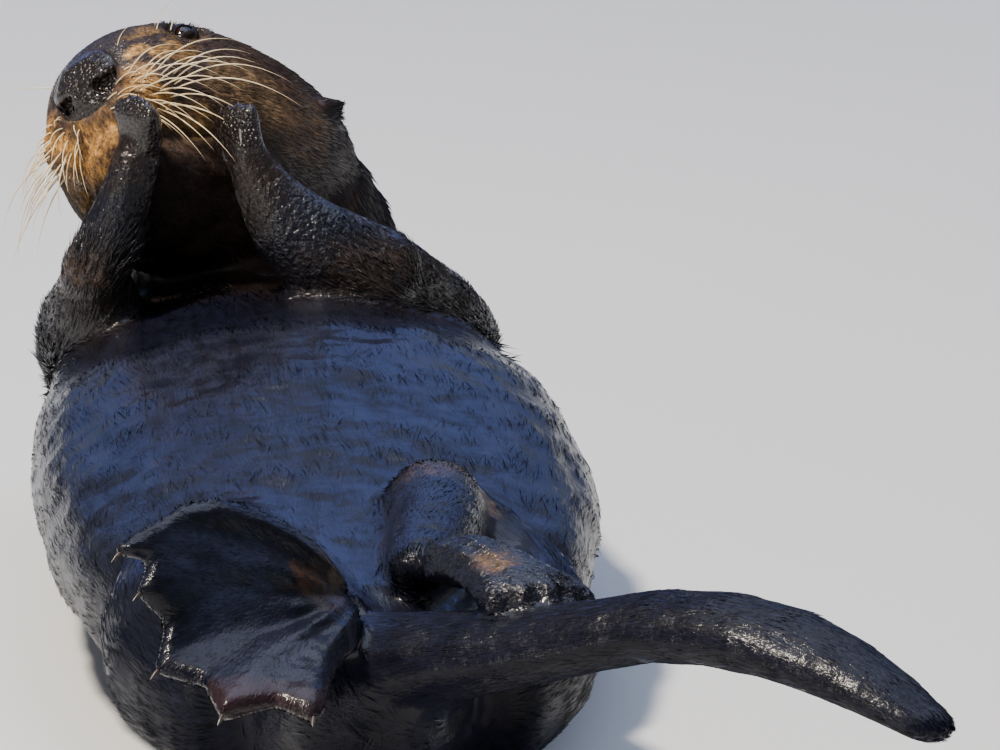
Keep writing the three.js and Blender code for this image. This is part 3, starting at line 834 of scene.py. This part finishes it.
# %% Nose pad
NOSE_VOXEL = 0.75 * MM
nose = copied("nose_pad", ["nose"])
modified(nose, "REMESH", mode="VOXEL", voxel_size=NOSE_VOXEL)
co = relaxed(nose.data, 0.5, 14, neighbours(nose.data))
facing = normals_of(nose.data)
p = in_head(co)
shift = groove(p, [(80, 0, 6), (80, 0, -8), (75, 0, -18)], 1.6, 0.9)
hollow, rim = np.zeros(len(co)), np.zeros(len(co))
for s in SIDES:
    nostril = groove(p, [(79.5, s * 4, -13.5), (78.5, s * 9, -12.5), (75, s * 14.5, -8),
                         (70, s * 18.5, -1.5)], 3.0, 1)
    hollow = np.maximum(hollow, -nostril)
    shift += 4.6 * nostril
    shift -= groove(p, [(80, s * 6, -4), (77, s * 14, -2), (70, s * 19, 5)], 3.4, 0.9)
    wing = groove(p, [(78, s * 3, -18.5), (74, s * 11, -17.5), (68, s * 18.5, -12), (63, s * 22, -5)],
                  2.4, 1)
    shift -= 1.0 * wing
    rim = np.maximum(rim, -wing)
# the hollow mask carries the painted shade deep in each nostril
store(nose.data, "hollow", smoothstep(hollow, 0.35, 0.9))
# the rim mask carries the painted wet highlight under the nostril wings
store(nose.data, "rim", 0.75 * smoothstep(rim, 0.4, 0.95) * (1 - smoothstep(hollow, 0.2, 0.6)))
shift += 0.22 * rippled(co, 0.0021, 4.0) + 0.25 * rippled(co, 0.006, 9.0)
co += (shift * MM)[:, None] * facing
set_points(nose.data, co)
nose.data.materials.append(bare_skin)
print("nose pad:", len(nose.data.polygons), "faces")

# %% [markdown]
# ## Eyes and lids
# The eye is a ball about 15 mm across, nearly all dark iris, with a slight bulge for the
# cornea. Each pair of lids is one ring of skin, from the slit, where it hugs the ball,
# out to the face, where it slips under the coat.

# %% Eyeballs
EYE_FACING = {s: unit([0.60, s * 0.76, 0.20]) for s in SIDES}
iris, tree, shader = material("moist_cornea", Roughness=0.06, IOR=1.376, Coat_Weight=1.0,
                              Coat_Roughness=0.02, Coat_IOR=1.33)
rings_of_eye = add(tree, "ShaderNodeValToRGB", inputs={"Fac": stored(tree, "from_axis")})
ramp = rings_of_eye.color_ramp.elements           # pupil, iris, its dark rim, white of the eye
for k, (at, code) in enumerate(((0.20, "030202"), (0.24, "2C180D"), (0.58, "1E110A"),
                                (0.66, "0B0706"), (0.8, "3B2D28"))):
    stop = ramp[k] if k < 2 else ramp.new(at)
    stop.position, stop.color = at, srgb(code)
painted(tree, shader, rings_of_eye.outputs["Color"])


def eyeball(s):
    bm = bmesh.new()
    bmesh.ops.create_uvsphere(bm, u_segments=40, v_segments=28, radius=1)
    mesh = meshed("eyeball_" + SIDES[s], bm)
    ball = points_of(mesh)
    off = np.arccos(np.clip(ball[:, 2], -1, 1))
    store(mesh, "from_axis", off)
    ball *= EYE_RADIUS + 0.5 * np.exp(-(off / 0.5) ** 2)[:, None]
    turn = np.array(Vector(EYE_FACING[s]).to_track_quat("Z", "Y").to_matrix())
    set_points(mesh, on_head(EYE_PLACE[s] + ball @ turn.T))
    mesh.materials.append(iris)
    return put(mesh.name, mesh)


eyes = {s: eyeball(s) for s in SIDES}
print("eyes:", [len(piece.data.polygons) for piece in eyes.values()], "faces")

# %% Lids
SLIT_LONG, SLIT_UP, SLIT_DOWN = 6.0, 2.9, 2.3     # mm from the middle of the slit
RIM_LONG, RIM_HIGH = 13.5, 12.5
LID = 1.1
skin_tree = BVHTree.FromObject(skin, bpy.context.evaluated_depsgraph_get())
SLIT_AXIS = {s: np.array([0.93, s * 0.1, -0.34]) for s in SIDES}


def strip(rows, around):
    """Faces of a tube or a ring of so many rows of points."""
    return [(j * around + i, j * around + (i + 1) % around,
             (j + 1) * around + (i + 1) % around, (j + 1) * around + i)
            for j in range(rows - 1) for i in range(around)]


def lids(s):
    out = EYE_FACING[s]
    long = unit(SLIT_AXIS[s] - out * (SLIT_AXIS[s] @ out))
    high = np.cross(out, long) * (1 if np.cross(out, long)[2] > 0 else -1)
    around, rows = 56, 18
    points = []
    for j in range(rows + 2):
        t = max(0, j - 2) / (rows - 1)
        for i in range(around):
            a = 2 * math.pi * i / around
            up = SLIT_UP if math.sin(a) > 0 else SLIT_DOWN
            inner = np.array([SLIT_LONG * math.cos(a), up * math.sin(a) * abs(math.sin(a)) ** 0.3])
            outer = np.array([RIM_LONG * math.cos(a), RIM_HIGH * math.sin(a)])
            x, y = inner * (0.80 if j == 0 else 1) + (outer - inner) * t ** 1.15
            r = math.hypot(x, y)
            level = EYE_RADIUS + (-0.6, 0.35, LID)[min(j, 2)]
            ball = math.sqrt(max(level ** 2 - r * r, 0))
            start = on_head(EYE_PLACE[s] + long * x + high * y + out * 40)
            hit = skin_tree.ray_cast(Vector(start), Vector(-(out @ HEAD_AXES)))[0]
            ground = (in_head(np.array(hit)) - EYE_PLACE[s]) @ out if hit else ball
            fold = 0.35 * math.sin(r * 1.9 + 0.6) * smoothstep(r, 4.5, 6) * (1 - smoothstep(r, 9, 12))
            blend = smoothstep(r, 6.2, 12.5)
            height = ball * (1 - blend) + (ground - 0.5 * smoothstep(r, 10, 13)) * blend + fold
            points.append(on_head(EYE_PLACE[s] + long * x + high * y + out * height))
    faces = strip(rows + 2, around)
    piece = built("eyelids_" + SIDES[s], points, faces)
    if Vector(out @ HEAD_AXES).dot(piece.data.polygons[len(faces) // 2].normal) < 0:
        piece.data.flip_normals()
    return piece


eyelids = {s: lids(s) for s in SIDES}
for s, piece in eyelids.items():
    modified(piece, "SUBSURF", levels=1, render_levels=1)
    piece.data.materials.append(hide)
    co = points_of(piece.data)
    off = in_head(co) - EYE_PLACE[s]
    out = off - (off @ EYE_FACING[s])[:, None] * EYE_FACING[s]
    wide = np.linalg.norm(out, axis=1)
    along = out @ unit(SLIT_AXIS[s])
    across = np.linalg.norm(out - along[:, None] * unit(SLIT_AXIS[s]), axis=1)
    gap_to_slit = np.hypot(np.maximum(across - 1.8, 0), np.maximum(np.abs(along) - SLIT_LONG, 0))
    lid_grain = unit(unit(out) + 0.8 * unit(in_head(co) - NOSE_TIP))
    fields = {"length": 2.3 + 2.4 * smoothstep(wide, 6, 12), "width": 0.5, "thick": 0.3,
              "stand": np.radians(0.8), "sleek": 0.5, "wet": 0.5, "clump": 0,
              "tufts": 2.2e6 * smoothstep(gap_to_slit, 1.2, 2.0)}
    for name, values in fields.items():
        store(piece.data, name, values + 0 * wide)
    store(piece.data, "grain", lid_grain @ HEAD_AXES, "FLOAT_VECTOR")
    store(piece.data, "flow", flow_of("head", co), "FLOAT_VECTOR")
    store(piece.data, "coat_part", np.zeros(len(piece.data.polygons)), "INT", "FACE")
co = points_of(skin.data)                   # the face under the lids sinks out of their way
local = in_head(co)
for s in SIDES:
    off = local - EYE_PLACE[s]
    high = off @ EYE_FACING[s]
    wide = np.linalg.norm(off - high[:, None] * EYE_FACING[s], axis=1)
    sink = np.where(high > 0, 2.2 * (1 - smoothstep(wide, 8.5, 12.5)), 0)
    co -= (sink * MM)[:, None] * (EYE_FACING[s] @ HEAD_AXES)
set_points(skin.data, co)
print("lids:", [len(piece.data.polygons) for piece in eyelids.values()], "faces")

# %% [markdown]
# ## Whiskers
# Stiff, ivory and up to 9 cm long, they stand in rows on the pads beside the nose, with a
# few over each eye. Each is a tapered tube along a curve that the water swept back.


# %% Whiskers
def horny(name, size, detail, first, second, **sockets):
    """Keratin in two tones that are mixed by noise."""
    made, tree, shader = material(name, IOR=1.55, Coat_Roughness=0.1, Coat_IOR=1.33, **sockets)
    painted(tree, shader, mixed(tree, clouds(tree, spot_in(tree), size, detail), first, second))
    return made


ivory = horny("whisker_keratin", 0.012, 1.0, "FBF0D2", "D6B57C", Roughness=0.32, Coat_Weight=0.4)
AROUND, ALONG = 5, 14


def hair(root, leave, arrive, long, thick):
    """Points and faces of one tapered, curved hair, in head mm."""
    t = np.linspace(0, 1, ALONG)[:, None]
    line = root + long * (leave * (t - t * t / 2) + arrive * t * t / 2)
    tangent = unit(leave * (1 - t) + arrive * t)
    side = unit(np.cross(tangent, [0.3, 0.2, 0.93]))
    over = np.cross(tangent, side)
    turn = 2 * math.pi * np.arange(AROUND) / AROUND
    radius = thick * (1 - 0.93 * t ** 1.6)
    points = (line[:, None] + radius[:, None] * (side[:, None] * np.cos(turn)[:, None]
                                                + over[:, None] * np.sin(turn)[:, None]))
    faces = strip(ALONG, AROUND)
    faces += [tuple(range(AROUND))[::-1], tuple((ALONG - 1) * AROUND + i for i in range(AROUND))]
    return points.reshape(-1, 3), faces


dice = np.random.default_rng(7)
whisker_points, whisker_faces = [], []


def plant(root, leave, arrive, long, thick):
    """Roots a hair in the skin nearest to a point and keeps it."""
    hit = skin_tree.find_nearest(Vector(on_head(root)))[0]
    base = in_head(np.array(hit)) - 0.8 * unit(leave)
    points, faces = hair(base, unit(leave), unit(arrive), long, thick)
    start = sum(len(part) for part in whisker_points)
    whisker_points.append(on_head(points))
    whisker_faces.extend(tuple(v + start for v in face) for face in faces)


ROWS, COLUMNS = 7, 6
for s in SIDES:
    for row in range(ROWS):
        down = row / (ROWS - 1)
        for column in range(COLUMNS):
            out_by = column / (COLUMNS - 1)
            wide = math.radians(-38 + 125 * out_by + dice.uniform(-5, 5))
            rise = math.radians(22 - 72 * down + dice.uniform(-5, 5))
            out = np.array([math.cos(wide) * math.cos(rise), s * math.sin(wide) * math.cos(rise),
                            math.sin(rise)])
            root = np.array([54, s * 23, -14]) + out * 20
            stray = dice.uniform(-0.1, 0.1, 3)
            if s == 1:      # the left ones are swept back along the cheek
                leave = np.array([0.0, 0.85, 0.30 - 0.9 * down]) + 0.3 * out
                arrive = np.array([-0.95, 0.34 - 0.3 * down, -0.05 - 0.6 * down])
                long = (22 + 56 * out_by) * (1 - 0.3 * abs(down - 0.4))
            else:           # the right ones hang
                leave = np.array([0.15, -0.1 - 0.7 * out_by, -0.15 - 0.45 * down]) + 0.3 * out
                arrive = np.array([-0.42, -0.12 - 0.6 * out_by, -0.7 - 0.1 * down])
                long = (30 + 16 * out_by) * (0.3 + 0.75 * smoothstep(down, 0.1, 0.55))
            plant(root, leave + stray, arrive + 1.3 * stray, long * dice.uniform(0.65, 1.2),
                  0.36 + 0.12 * out_by)
plant((72, -22, 14), (0.5, -0.75, 0.3), (0.3, -0.85, 0.1), 30, 0.3)
SWEPT_BACK = HEAD_AXES @ np.array([0.34, 0.92, 0.1])
for x, y, z, long in ((72, 22, 16, 24), (54, 34, 27, 46), (50, 30, 33, 30), (47, 38, 30, 26)):
    for s in SIDES:
        plant((x, s * y, z), SWEPT_BACK + [0.3, s * 0.05, 0.25], SWEPT_BACK + [0, s * 0.1, -0.2],
              long * dice.uniform(0.85, 1.05), 0.26)
whiskers = built("whiskers", np.concatenate(whisker_points), whisker_faces)
whiskers.data.materials.append(ivory)
print("whiskers:", len(whisker_points), "hairs,", len(whisker_faces), "faces")

# %% [markdown]
# ## Claws
# Short, blunt horn. The solids have the right size but flat sides, so copies are rounded
# by subdivision.

# %% Claws
horn = horny("claw_horn", 0.003, 3.0, "15110F", "4C4036", Roughness=0.3, Coat_Weight=0.3)
claws = []
for foot in (*PAWS, "hind_foot_left", "hind_foot_right"):
    names = [f"claw_{foot}_{n}" for n in range(1, 6)]
    piece = copied("claws_" + foot, names)
    modified(piece, "SUBSURF", levels=2, render_levels=2)
    piece.data.materials.append(horn)
    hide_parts(*names)
    claws.append(piece)
print("claws:", [len(piece.data.polygons) for piece in claws], "faces")

# %% [markdown]
# ## The coat
# Wet fur clings in pointed locks. Each is a small closed blade with three sides: a root
# in the skin, a rise and a tip that comes down again. Geometry Nodes spread points over
# the skin, turn them to the grain, give each a lock from three shapes and scale it.

# %% Three locks
LOCK_ROWS = [(0.0, 0.55, -1.6, 0.9), (0.42, 1.0, -1.1, 1.75)]     # along, width, floor, height
LOCK_FACES = [(0, 2, 1), (0, 1, 4, 3), (1, 2, 5, 4), (2, 0, 3, 5), (3, 4, 6), (4, 5, 6), (5, 3, 6)]
LOCK_POINTS = 7


def lock_shape(name, bend, lift):
    """A blade one unit long, wide and high. bend curls it sideways."""
    points = []
    for y, w, z, ridge in LOCK_ROWS:
        x = bend * y * y
        points += [(x - w / 2, y, z), (x + w / 2, y, z), (x, y, z + ridge)]
    points.append((bend, 1.0, lift))
    mesh = bpy.data.meshes.new(name)
    mesh.from_pydata(points, [], LOCK_FACES)
    bm = bmesh.new()
    bm.from_mesh(mesh)
    bmesh.ops.recalc_face_normals(bm, faces=bm.faces)
    bmesh.ops.triangulate(bm, faces=bm.faces)
    bm.to_mesh(mesh)
    bm.free()
    flat = points_of(mesh)
    store(mesh, "lock", np.stack([flat[:, 0] - bend * flat[:, 1] ** 2, flat[:, 1], 0 * flat[:, 1]], 1),
          "FLOAT_VECTOR")
    return bpy.data.objects.new(name, mesh)


locks = bpy.data.collections.new("locks")
for name, bend, lift in (("lock_straight", 0.0, 0.0), ("lock_left", -0.7, -0.08),
                         ("lock_right", 0.7, 0.08)):
    locks.objects.link(lock_shape(name, bend, lift))

# %% The tree that scatters them
coat_tree = bpy.data.node_groups.new("coat of locks", "GeometryNodeTree")
SOCKETS = {}
for name, kind in (("Skin", "Geometry"), ("Part", "Int"), ("Seed", "Int"), ("Locks", "Collection"),
                   ("Finish", "Material")):
    SOCKETS[name] = coat_tree.interface.new_socket(name, in_out="INPUT",
                                                   socket_type="NodeSocket" + kind).identifier
coat_tree.interface.new_socket("Coat", in_out="OUTPUT", socket_type="NodeSocketGeometry")
given = add(coat_tree, "NodeGroupInput").outputs
SPREAD = 0.22                               # radians that a lock may turn from the grain


def attribute(name, kind="FLOAT"):
    return add(coat_tree, "GeometryNodeInputNamedAttribute", {"data_type": kind},
               {"Name": name}).outputs["Attribute"]


def product(*factors):
    value = factors[0]
    for factor in factors[1:]:
        value = sums(coat_tree, "MULTIPLY", value, factor)
    return value


def chance(low, high, salt):
    """A random number for each tuft."""
    seed = sums(coat_tree, "ADD", given["Seed"], salt)
    return add(coat_tree, "FunctionNodeRandomValue", {"data_type": "FLOAT"},
               {"Seed": seed, 2: low, 3: high}).outputs[1]


def vector(*parts):
    return add(coat_tree, "ShaderNodeCombineXYZ", inputs=dict(enumerate(parts))).outputs[0]


def noted(points, name, value, kind):
    return add(coat_tree, "GeometryNodeStoreNamedAttribute", {"data_type": kind, "domain": "POINT"},
               {"Geometry": points, "Name": name, "Value": value}).outputs[0]


here = add(coat_tree, "FunctionNodeCompare", {"data_type": "INT", "operation": "EQUAL"},
           {2: attribute("coat_part", "INT"), 3: given["Part"]})
scattered = add(coat_tree, "GeometryNodeDistributePointsOnFaces", {"distribute_method": "RANDOM"},
                {"Mesh": given["Skin"], "Selection": here.outputs[0], "Seed": given["Seed"],
                 "Density": attribute("tufts")}).outputs
facing = add(coat_tree, "FunctionNodeAxesToRotation", {"primary_axis": "Z", "secondary_axis": "Y"},
             {0: scattered["Normal"], 1: attribute("grain", "FLOAT_VECTOR")})
own_turn = add(coat_tree, "FunctionNodeEulerToRotation", inputs={0: vector(
    product(attribute("stand"), chance(0.2, 1.9, 11)), chance(-0.25, 0.25, 13),
    product(SPREAD, chance(-1.0, 1.0, 12)))})
turned = add(coat_tree, "FunctionNodeRotateRotation", {"rotation_space": "LOCAL"},
             {0: facing.outputs[0], 1: own_turn.outputs[0]})
size = vector(product(attribute("width"), chance(0.6, 1.35, 14), MM),
              product(attribute("length"), chance(0.65, 1.25, 15), MM),
              product(attribute("thick"), chance(0.6, 1.0, 16), MM))
points = noted(scattered["Points"], "root",
               add(coat_tree, "GeometryNodeInputPosition").outputs[0], "FLOAT_VECTOR")
points = noted(points, "skin_normal", scattered["Normal"], "FLOAT_VECTOR")
points = noted(points, "shade", chance(0.0, 1.0, 17), "FLOAT")
pick = add(coat_tree, "FunctionNodeRandomValue", {"data_type": "INT"},
           {"Seed": given["Seed"], 4: 0, 5: 2})
shapes = add(coat_tree, "GeometryNodeCollectionInfo", {"transform_space": "ORIGINAL"},
             {"Collection": given["Locks"], "Separate Children": True, "Reset Children": True})
planted = add(coat_tree, "GeometryNodeInstanceOnPoints", inputs={
    "Points": points, "Instance": shapes.outputs[0], "Pick Instance": True,
    "Instance Index": pick.outputs[2], "Rotation": turned.outputs[0], "Scale": size})
real = add(coat_tree, "GeometryNodeRealizeInstances", inputs={0: planted.outputs[0]})
finished = add(coat_tree, "GeometryNodeSetMaterial", inputs={"Geometry": real.outputs[0],
                                                           "Material": given["Finish"]})
add(coat_tree, "NodeGroupOutput", inputs={0: finished.outputs[0]})
print("coat tree:", len(coat_tree.nodes), "nodes")

# %% [markdown]
# ## Unwrap for the tufts
# To bake its colour, each tuft needs a spot on a picture. The skin is unwrapped solid by
# solid, each rolled out round its long axis like a label off a jar, and the labels share
# one square by area. A tuft is a patch 0.003 across at its root, in the map OFBake.

# %% Labels of the unwrap
PATCH = 0.003
ROWS_OF_LABELS = 4


def long_axis(points):
    centre = points.mean(0)
    _, _, axes = np.linalg.svd(points - centre, full_matrices=False)
    along = (points - centre) @ axes[0]
    return centre, axes, along.min(), along.max()


labels = [long_axis(points_of(nodes[name].data)) for name in FLESH]
weight = [sum(f.area for f in nodes[name].data.polygons) for name in FLESH]
rows = [[]]
for k in sorted(range(len(FLESH)), key=lambda k: -weight[k]):
    if sum(weight[n] for n in rows[-1]) >= sum(weight) / ROWS_OF_LABELS:
        rows.append([])
    rows[-1].append(k)
cells, bottom = {}, 0.0
for row in rows:
    row_weight, left = sum(weight[k] for k in row), 0.0
    for k in row:
        cells[k] = (left, bottom, weight[k] / row_weight, row_weight / sum(weight))
        left += weight[k] / row_weight
    bottom += row_weight / sum(weight)


def unwrap(points, owner):
    uv = np.zeros((len(points), 2))
    edge = 2 * PATCH
    for k in np.unique(owner):
        on = owner == k
        centre, axes, low, high = labels[k]
        p = (points[on] - centre) @ axes.T
        round_it = np.arctan2(p[:, 2], p[:, 1]) / (2 * math.pi) + 0.5
        along = np.clip((p[:, 0] - low) / (high - low), 0, 1)
        x, y, w, h = cells[k]
        uv[on, 0] = x + edge + round_it * (w - 2 * edge)
        uv[on, 1] = y + edge + along * (h - 2 * edge)
    return uv


print("labels:", {FLESH[k]: tuple(round(v, 2) for v in c) for k, c in cells.items()})

# %% Where each piece of coat begins and ends
co = points_of(skin.data)
COAT_PARTS = ["face", "crown", "neck", "chest", "back", "flanks", "hips", "arms", "legs", "feet", "tail"]
PIECE_OF = {"lower_jaw": "face", "head": "crown", "ear": "crown", "neck": "neck", "trunk": "hips",
            "upper_arm": "arms", "forearm": "arms", "forepaw": "arms", "thigh": "legs",
            "shank": "legs", "hind_foot": "feet", "tail": "tail"}
coat_part = np.array([COAT_PARTS.index(PIECE_OF.get(n) or PIECE_OF[n.rsplit("_", 1)[0]])
                      for n in FLESH])[owner]
coat_part[(owner == FLESH.index("head")) & (in_head(co)[:, 0] > 12)] = COAT_PARTS.index("face")
along_trunk = np.where(owner == FLESH.index("trunk"), (co / MM + SHIFT)[:, 1], -np.inf)
for name, starts_at in (("flanks", 190), ("back", 350), ("chest", 500)):
    coat_part[along_trunk >= starts_at] = COAT_PARTS.index(name)
corner = np.array([f.vertices[0] for f in skin.data.polygons])
store(skin.data, "coat_part", coat_part[corner], "INT", "FACE")


# %% Grow the coat
UNSHOWN = ("length", "width", "thick", "tufts", "stand", "grain", "coat_part")
FLOOR_GAP = 0.2 * MM                        # locks that reach the floor bend along it


def grow(name, part, seed, base=skin):
    """One piece of the coat, as plain mesh, with its OFBake map."""
    piece = put("coat_" + name, base.data)
    modifier = piece.modifiers.new("coat", "NODES")
    modifier.node_group = coat_tree
    for key, value in {"Part": part, "Seed": seed, "Locks": locks, "Finish": fur}.items():
        modifier[SOCKETS[key]] = value
    mesh = applied(piece)
    mesh.name = piece.name
    points = points_of(mesh)
    root = read(mesh.attributes["root"].data, "vector").astype(float)
    lock = read(mesh.attributes["lock"].data, "vector").astype(float)
    lock[:, 2] = read(mesh.attributes["shade"].data, "value", 1)
    store(mesh, "lock", lock, "FLOAT_VECTOR")
    points[:, 2] = np.maximum(points[:, 2], FLOOR_GAP + 3 * FLOOR_GAP * lock[:, 1])
    set_points(mesh, points)
    first = root[::LOCK_POINTS]
    at = unwrap(first, owners(first)).repeat(LOCK_POINTS, 0)
    at += PATCH * np.stack([lock[:, 0] * 0.5, lock[:, 1] - 0.5], 1)
    loops = read(mesh.loops, "vertex_index", 1, np.int32)
    while mesh.uv_layers:
        mesh.uv_layers.remove(mesh.uv_layers[0])
    mesh.uv_layers.new(name="OFBake").data.foreach_set("uv", at[loops].astype(np.float32).ravel())
    lie_flat = read(mesh.attributes["sleek"].data, "value", 1)[:, None]
    facing = read(mesh.attributes["skin_normal"].data, "vector")
    own = read(mesh.vertex_normals, "vector")
    mesh.normals_split_custom_set_from_vertices(unit(facing * lie_flat + own * (1 - lie_flat)).tolist())
    forget(mesh, (*UNSHOWN, "root", "shade", "skin_normal"))
    print(f"{piece.name}: {len(first)} tufts, {len(mesh.polygons)} faces")
    return piece


coat = [grow(name, k, 20 + k) for k, name in enumerate(COAT_PARTS)]
coat += [grow("eyelids_" + SIDES[s], 0, 40 + s, base=eyelids[s]) for s in SIDES]
print("coat:", sum(len(piece.data.polygons) for piece in coat), "faces")

# %% [markdown]
# ## Floor, and the body
# A plain pale floor carries the animal. Each piece rides on the one body.

# %% Floor
paper, _, _ = material("matt_pale_board", Base_Color=srgb("D9DBDC"), Roughness=0.8)
floor_mesh = bpy.data.meshes.new("floor")
floor_mesh.from_pydata([(-15, -8, 0), (15, -8, 0), (15, 25, 0), (-15, 25, 0)], [], [(0, 1, 2, 3)])
floor_mesh.materials.append(paper)
put("floor", floor_mesh)

# %% The skin as it is shown
SHARE_KEPT = 0.37                           # of the fine skin's triangles
fine_points = KDTree(len(skin.data.vertices))
for k, spot in enumerate(points_of(skin.data)):
    fine_points.insert(spot, k)
fine_points.balance()
forget(skin.data, (*UNSHOWN, "sleek", *WATER))
modified(skin, "DECIMATE", ratio=SHARE_KEPT)
co = points_of(skin.data)
nearest = np.array([fine_points.find(spot)[1] for spot in co])
for name, values in WATER.items():
    store(skin.data, name, values[nearest])

# %% Flow over the skin, and where it jumps from one solid to the next
wander = np.stack([rippled(co, 0.035, seed) for seed in (3.0, 13.0, 23.0)], 1)
flow = by_solid(flow_of, co, owners(co)) + 0.0035 * wander
ring = neighbours(skin.data)
start, end, _ = ring
moved, apart = (np.linalg.norm(v[end] - v[start], axis=1) for v in (flow, co))
jump = moved > 3 * apart
torn = np.zeros(len(co))
torn[start[jump]] = 1
store(skin.data, "flow", flow, "FLOAT_VECTOR")
store(skin.data, "torn", np.minimum(3 * blurred(torn, ring, 5)[:, 0], 1))
print("flow jumps at", int(torn.sum()), "of", len(co), "points, where the strands fade out")

# %% Bare paw pads
skin.data.materials.append(hide)
skin.data.materials.append(bare_skin)
middles = read(skin.data.polygons, "center").astype(float)
bare_face = np.zeros(len(middles), np.int32)
for paw in PAWS:
    reach, wrist = past_wrist(paw, middles)
    near = np.flatnonzero((reach > -2) & (reach < 45) & (np.linalg.norm(middles - wrist, axis=1) < 0.06))
    bare_face[near[owners(middles[near]) == FLESH.index(paw)]] = 1
skin.data.polygons.foreach_set("material_index", bare_face)
corners = sum(len(f.vertices) - 2 for f in skin.data.polygons)
print("skin:", corners, "triangles,", int(bare_face.sum()), "faces bare")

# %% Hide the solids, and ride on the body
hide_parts(*FLESH)
for s in SIDES:
    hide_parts("eye_" + SIDES[s])
    forget(eyelids[s].data, (*UNSHOWN, "sleek"))
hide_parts("nose")
ON_HEAD = ("coat_face", "coat_crown", "coat_neck", "coat_eyelids_left", "coat_eyelids_right")
head_coat = [piece for piece in coat if piece.name in ON_HEAD]
body_coat = [piece for piece in coat if piece.name not in ON_HEAD]
for slot, pieces in (("fur_body", [skin] + body_coat), ("bare_skin", [nose]),
                     ("eye", list(eyes.values())), ("claw_horn", claws),
                     ("fur_head", list(eyelids.values()) + [whiskers] + head_coat)):
    for piece in pieces:
        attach(piece, "root")
    print(slot, len(pieces), "pieces")
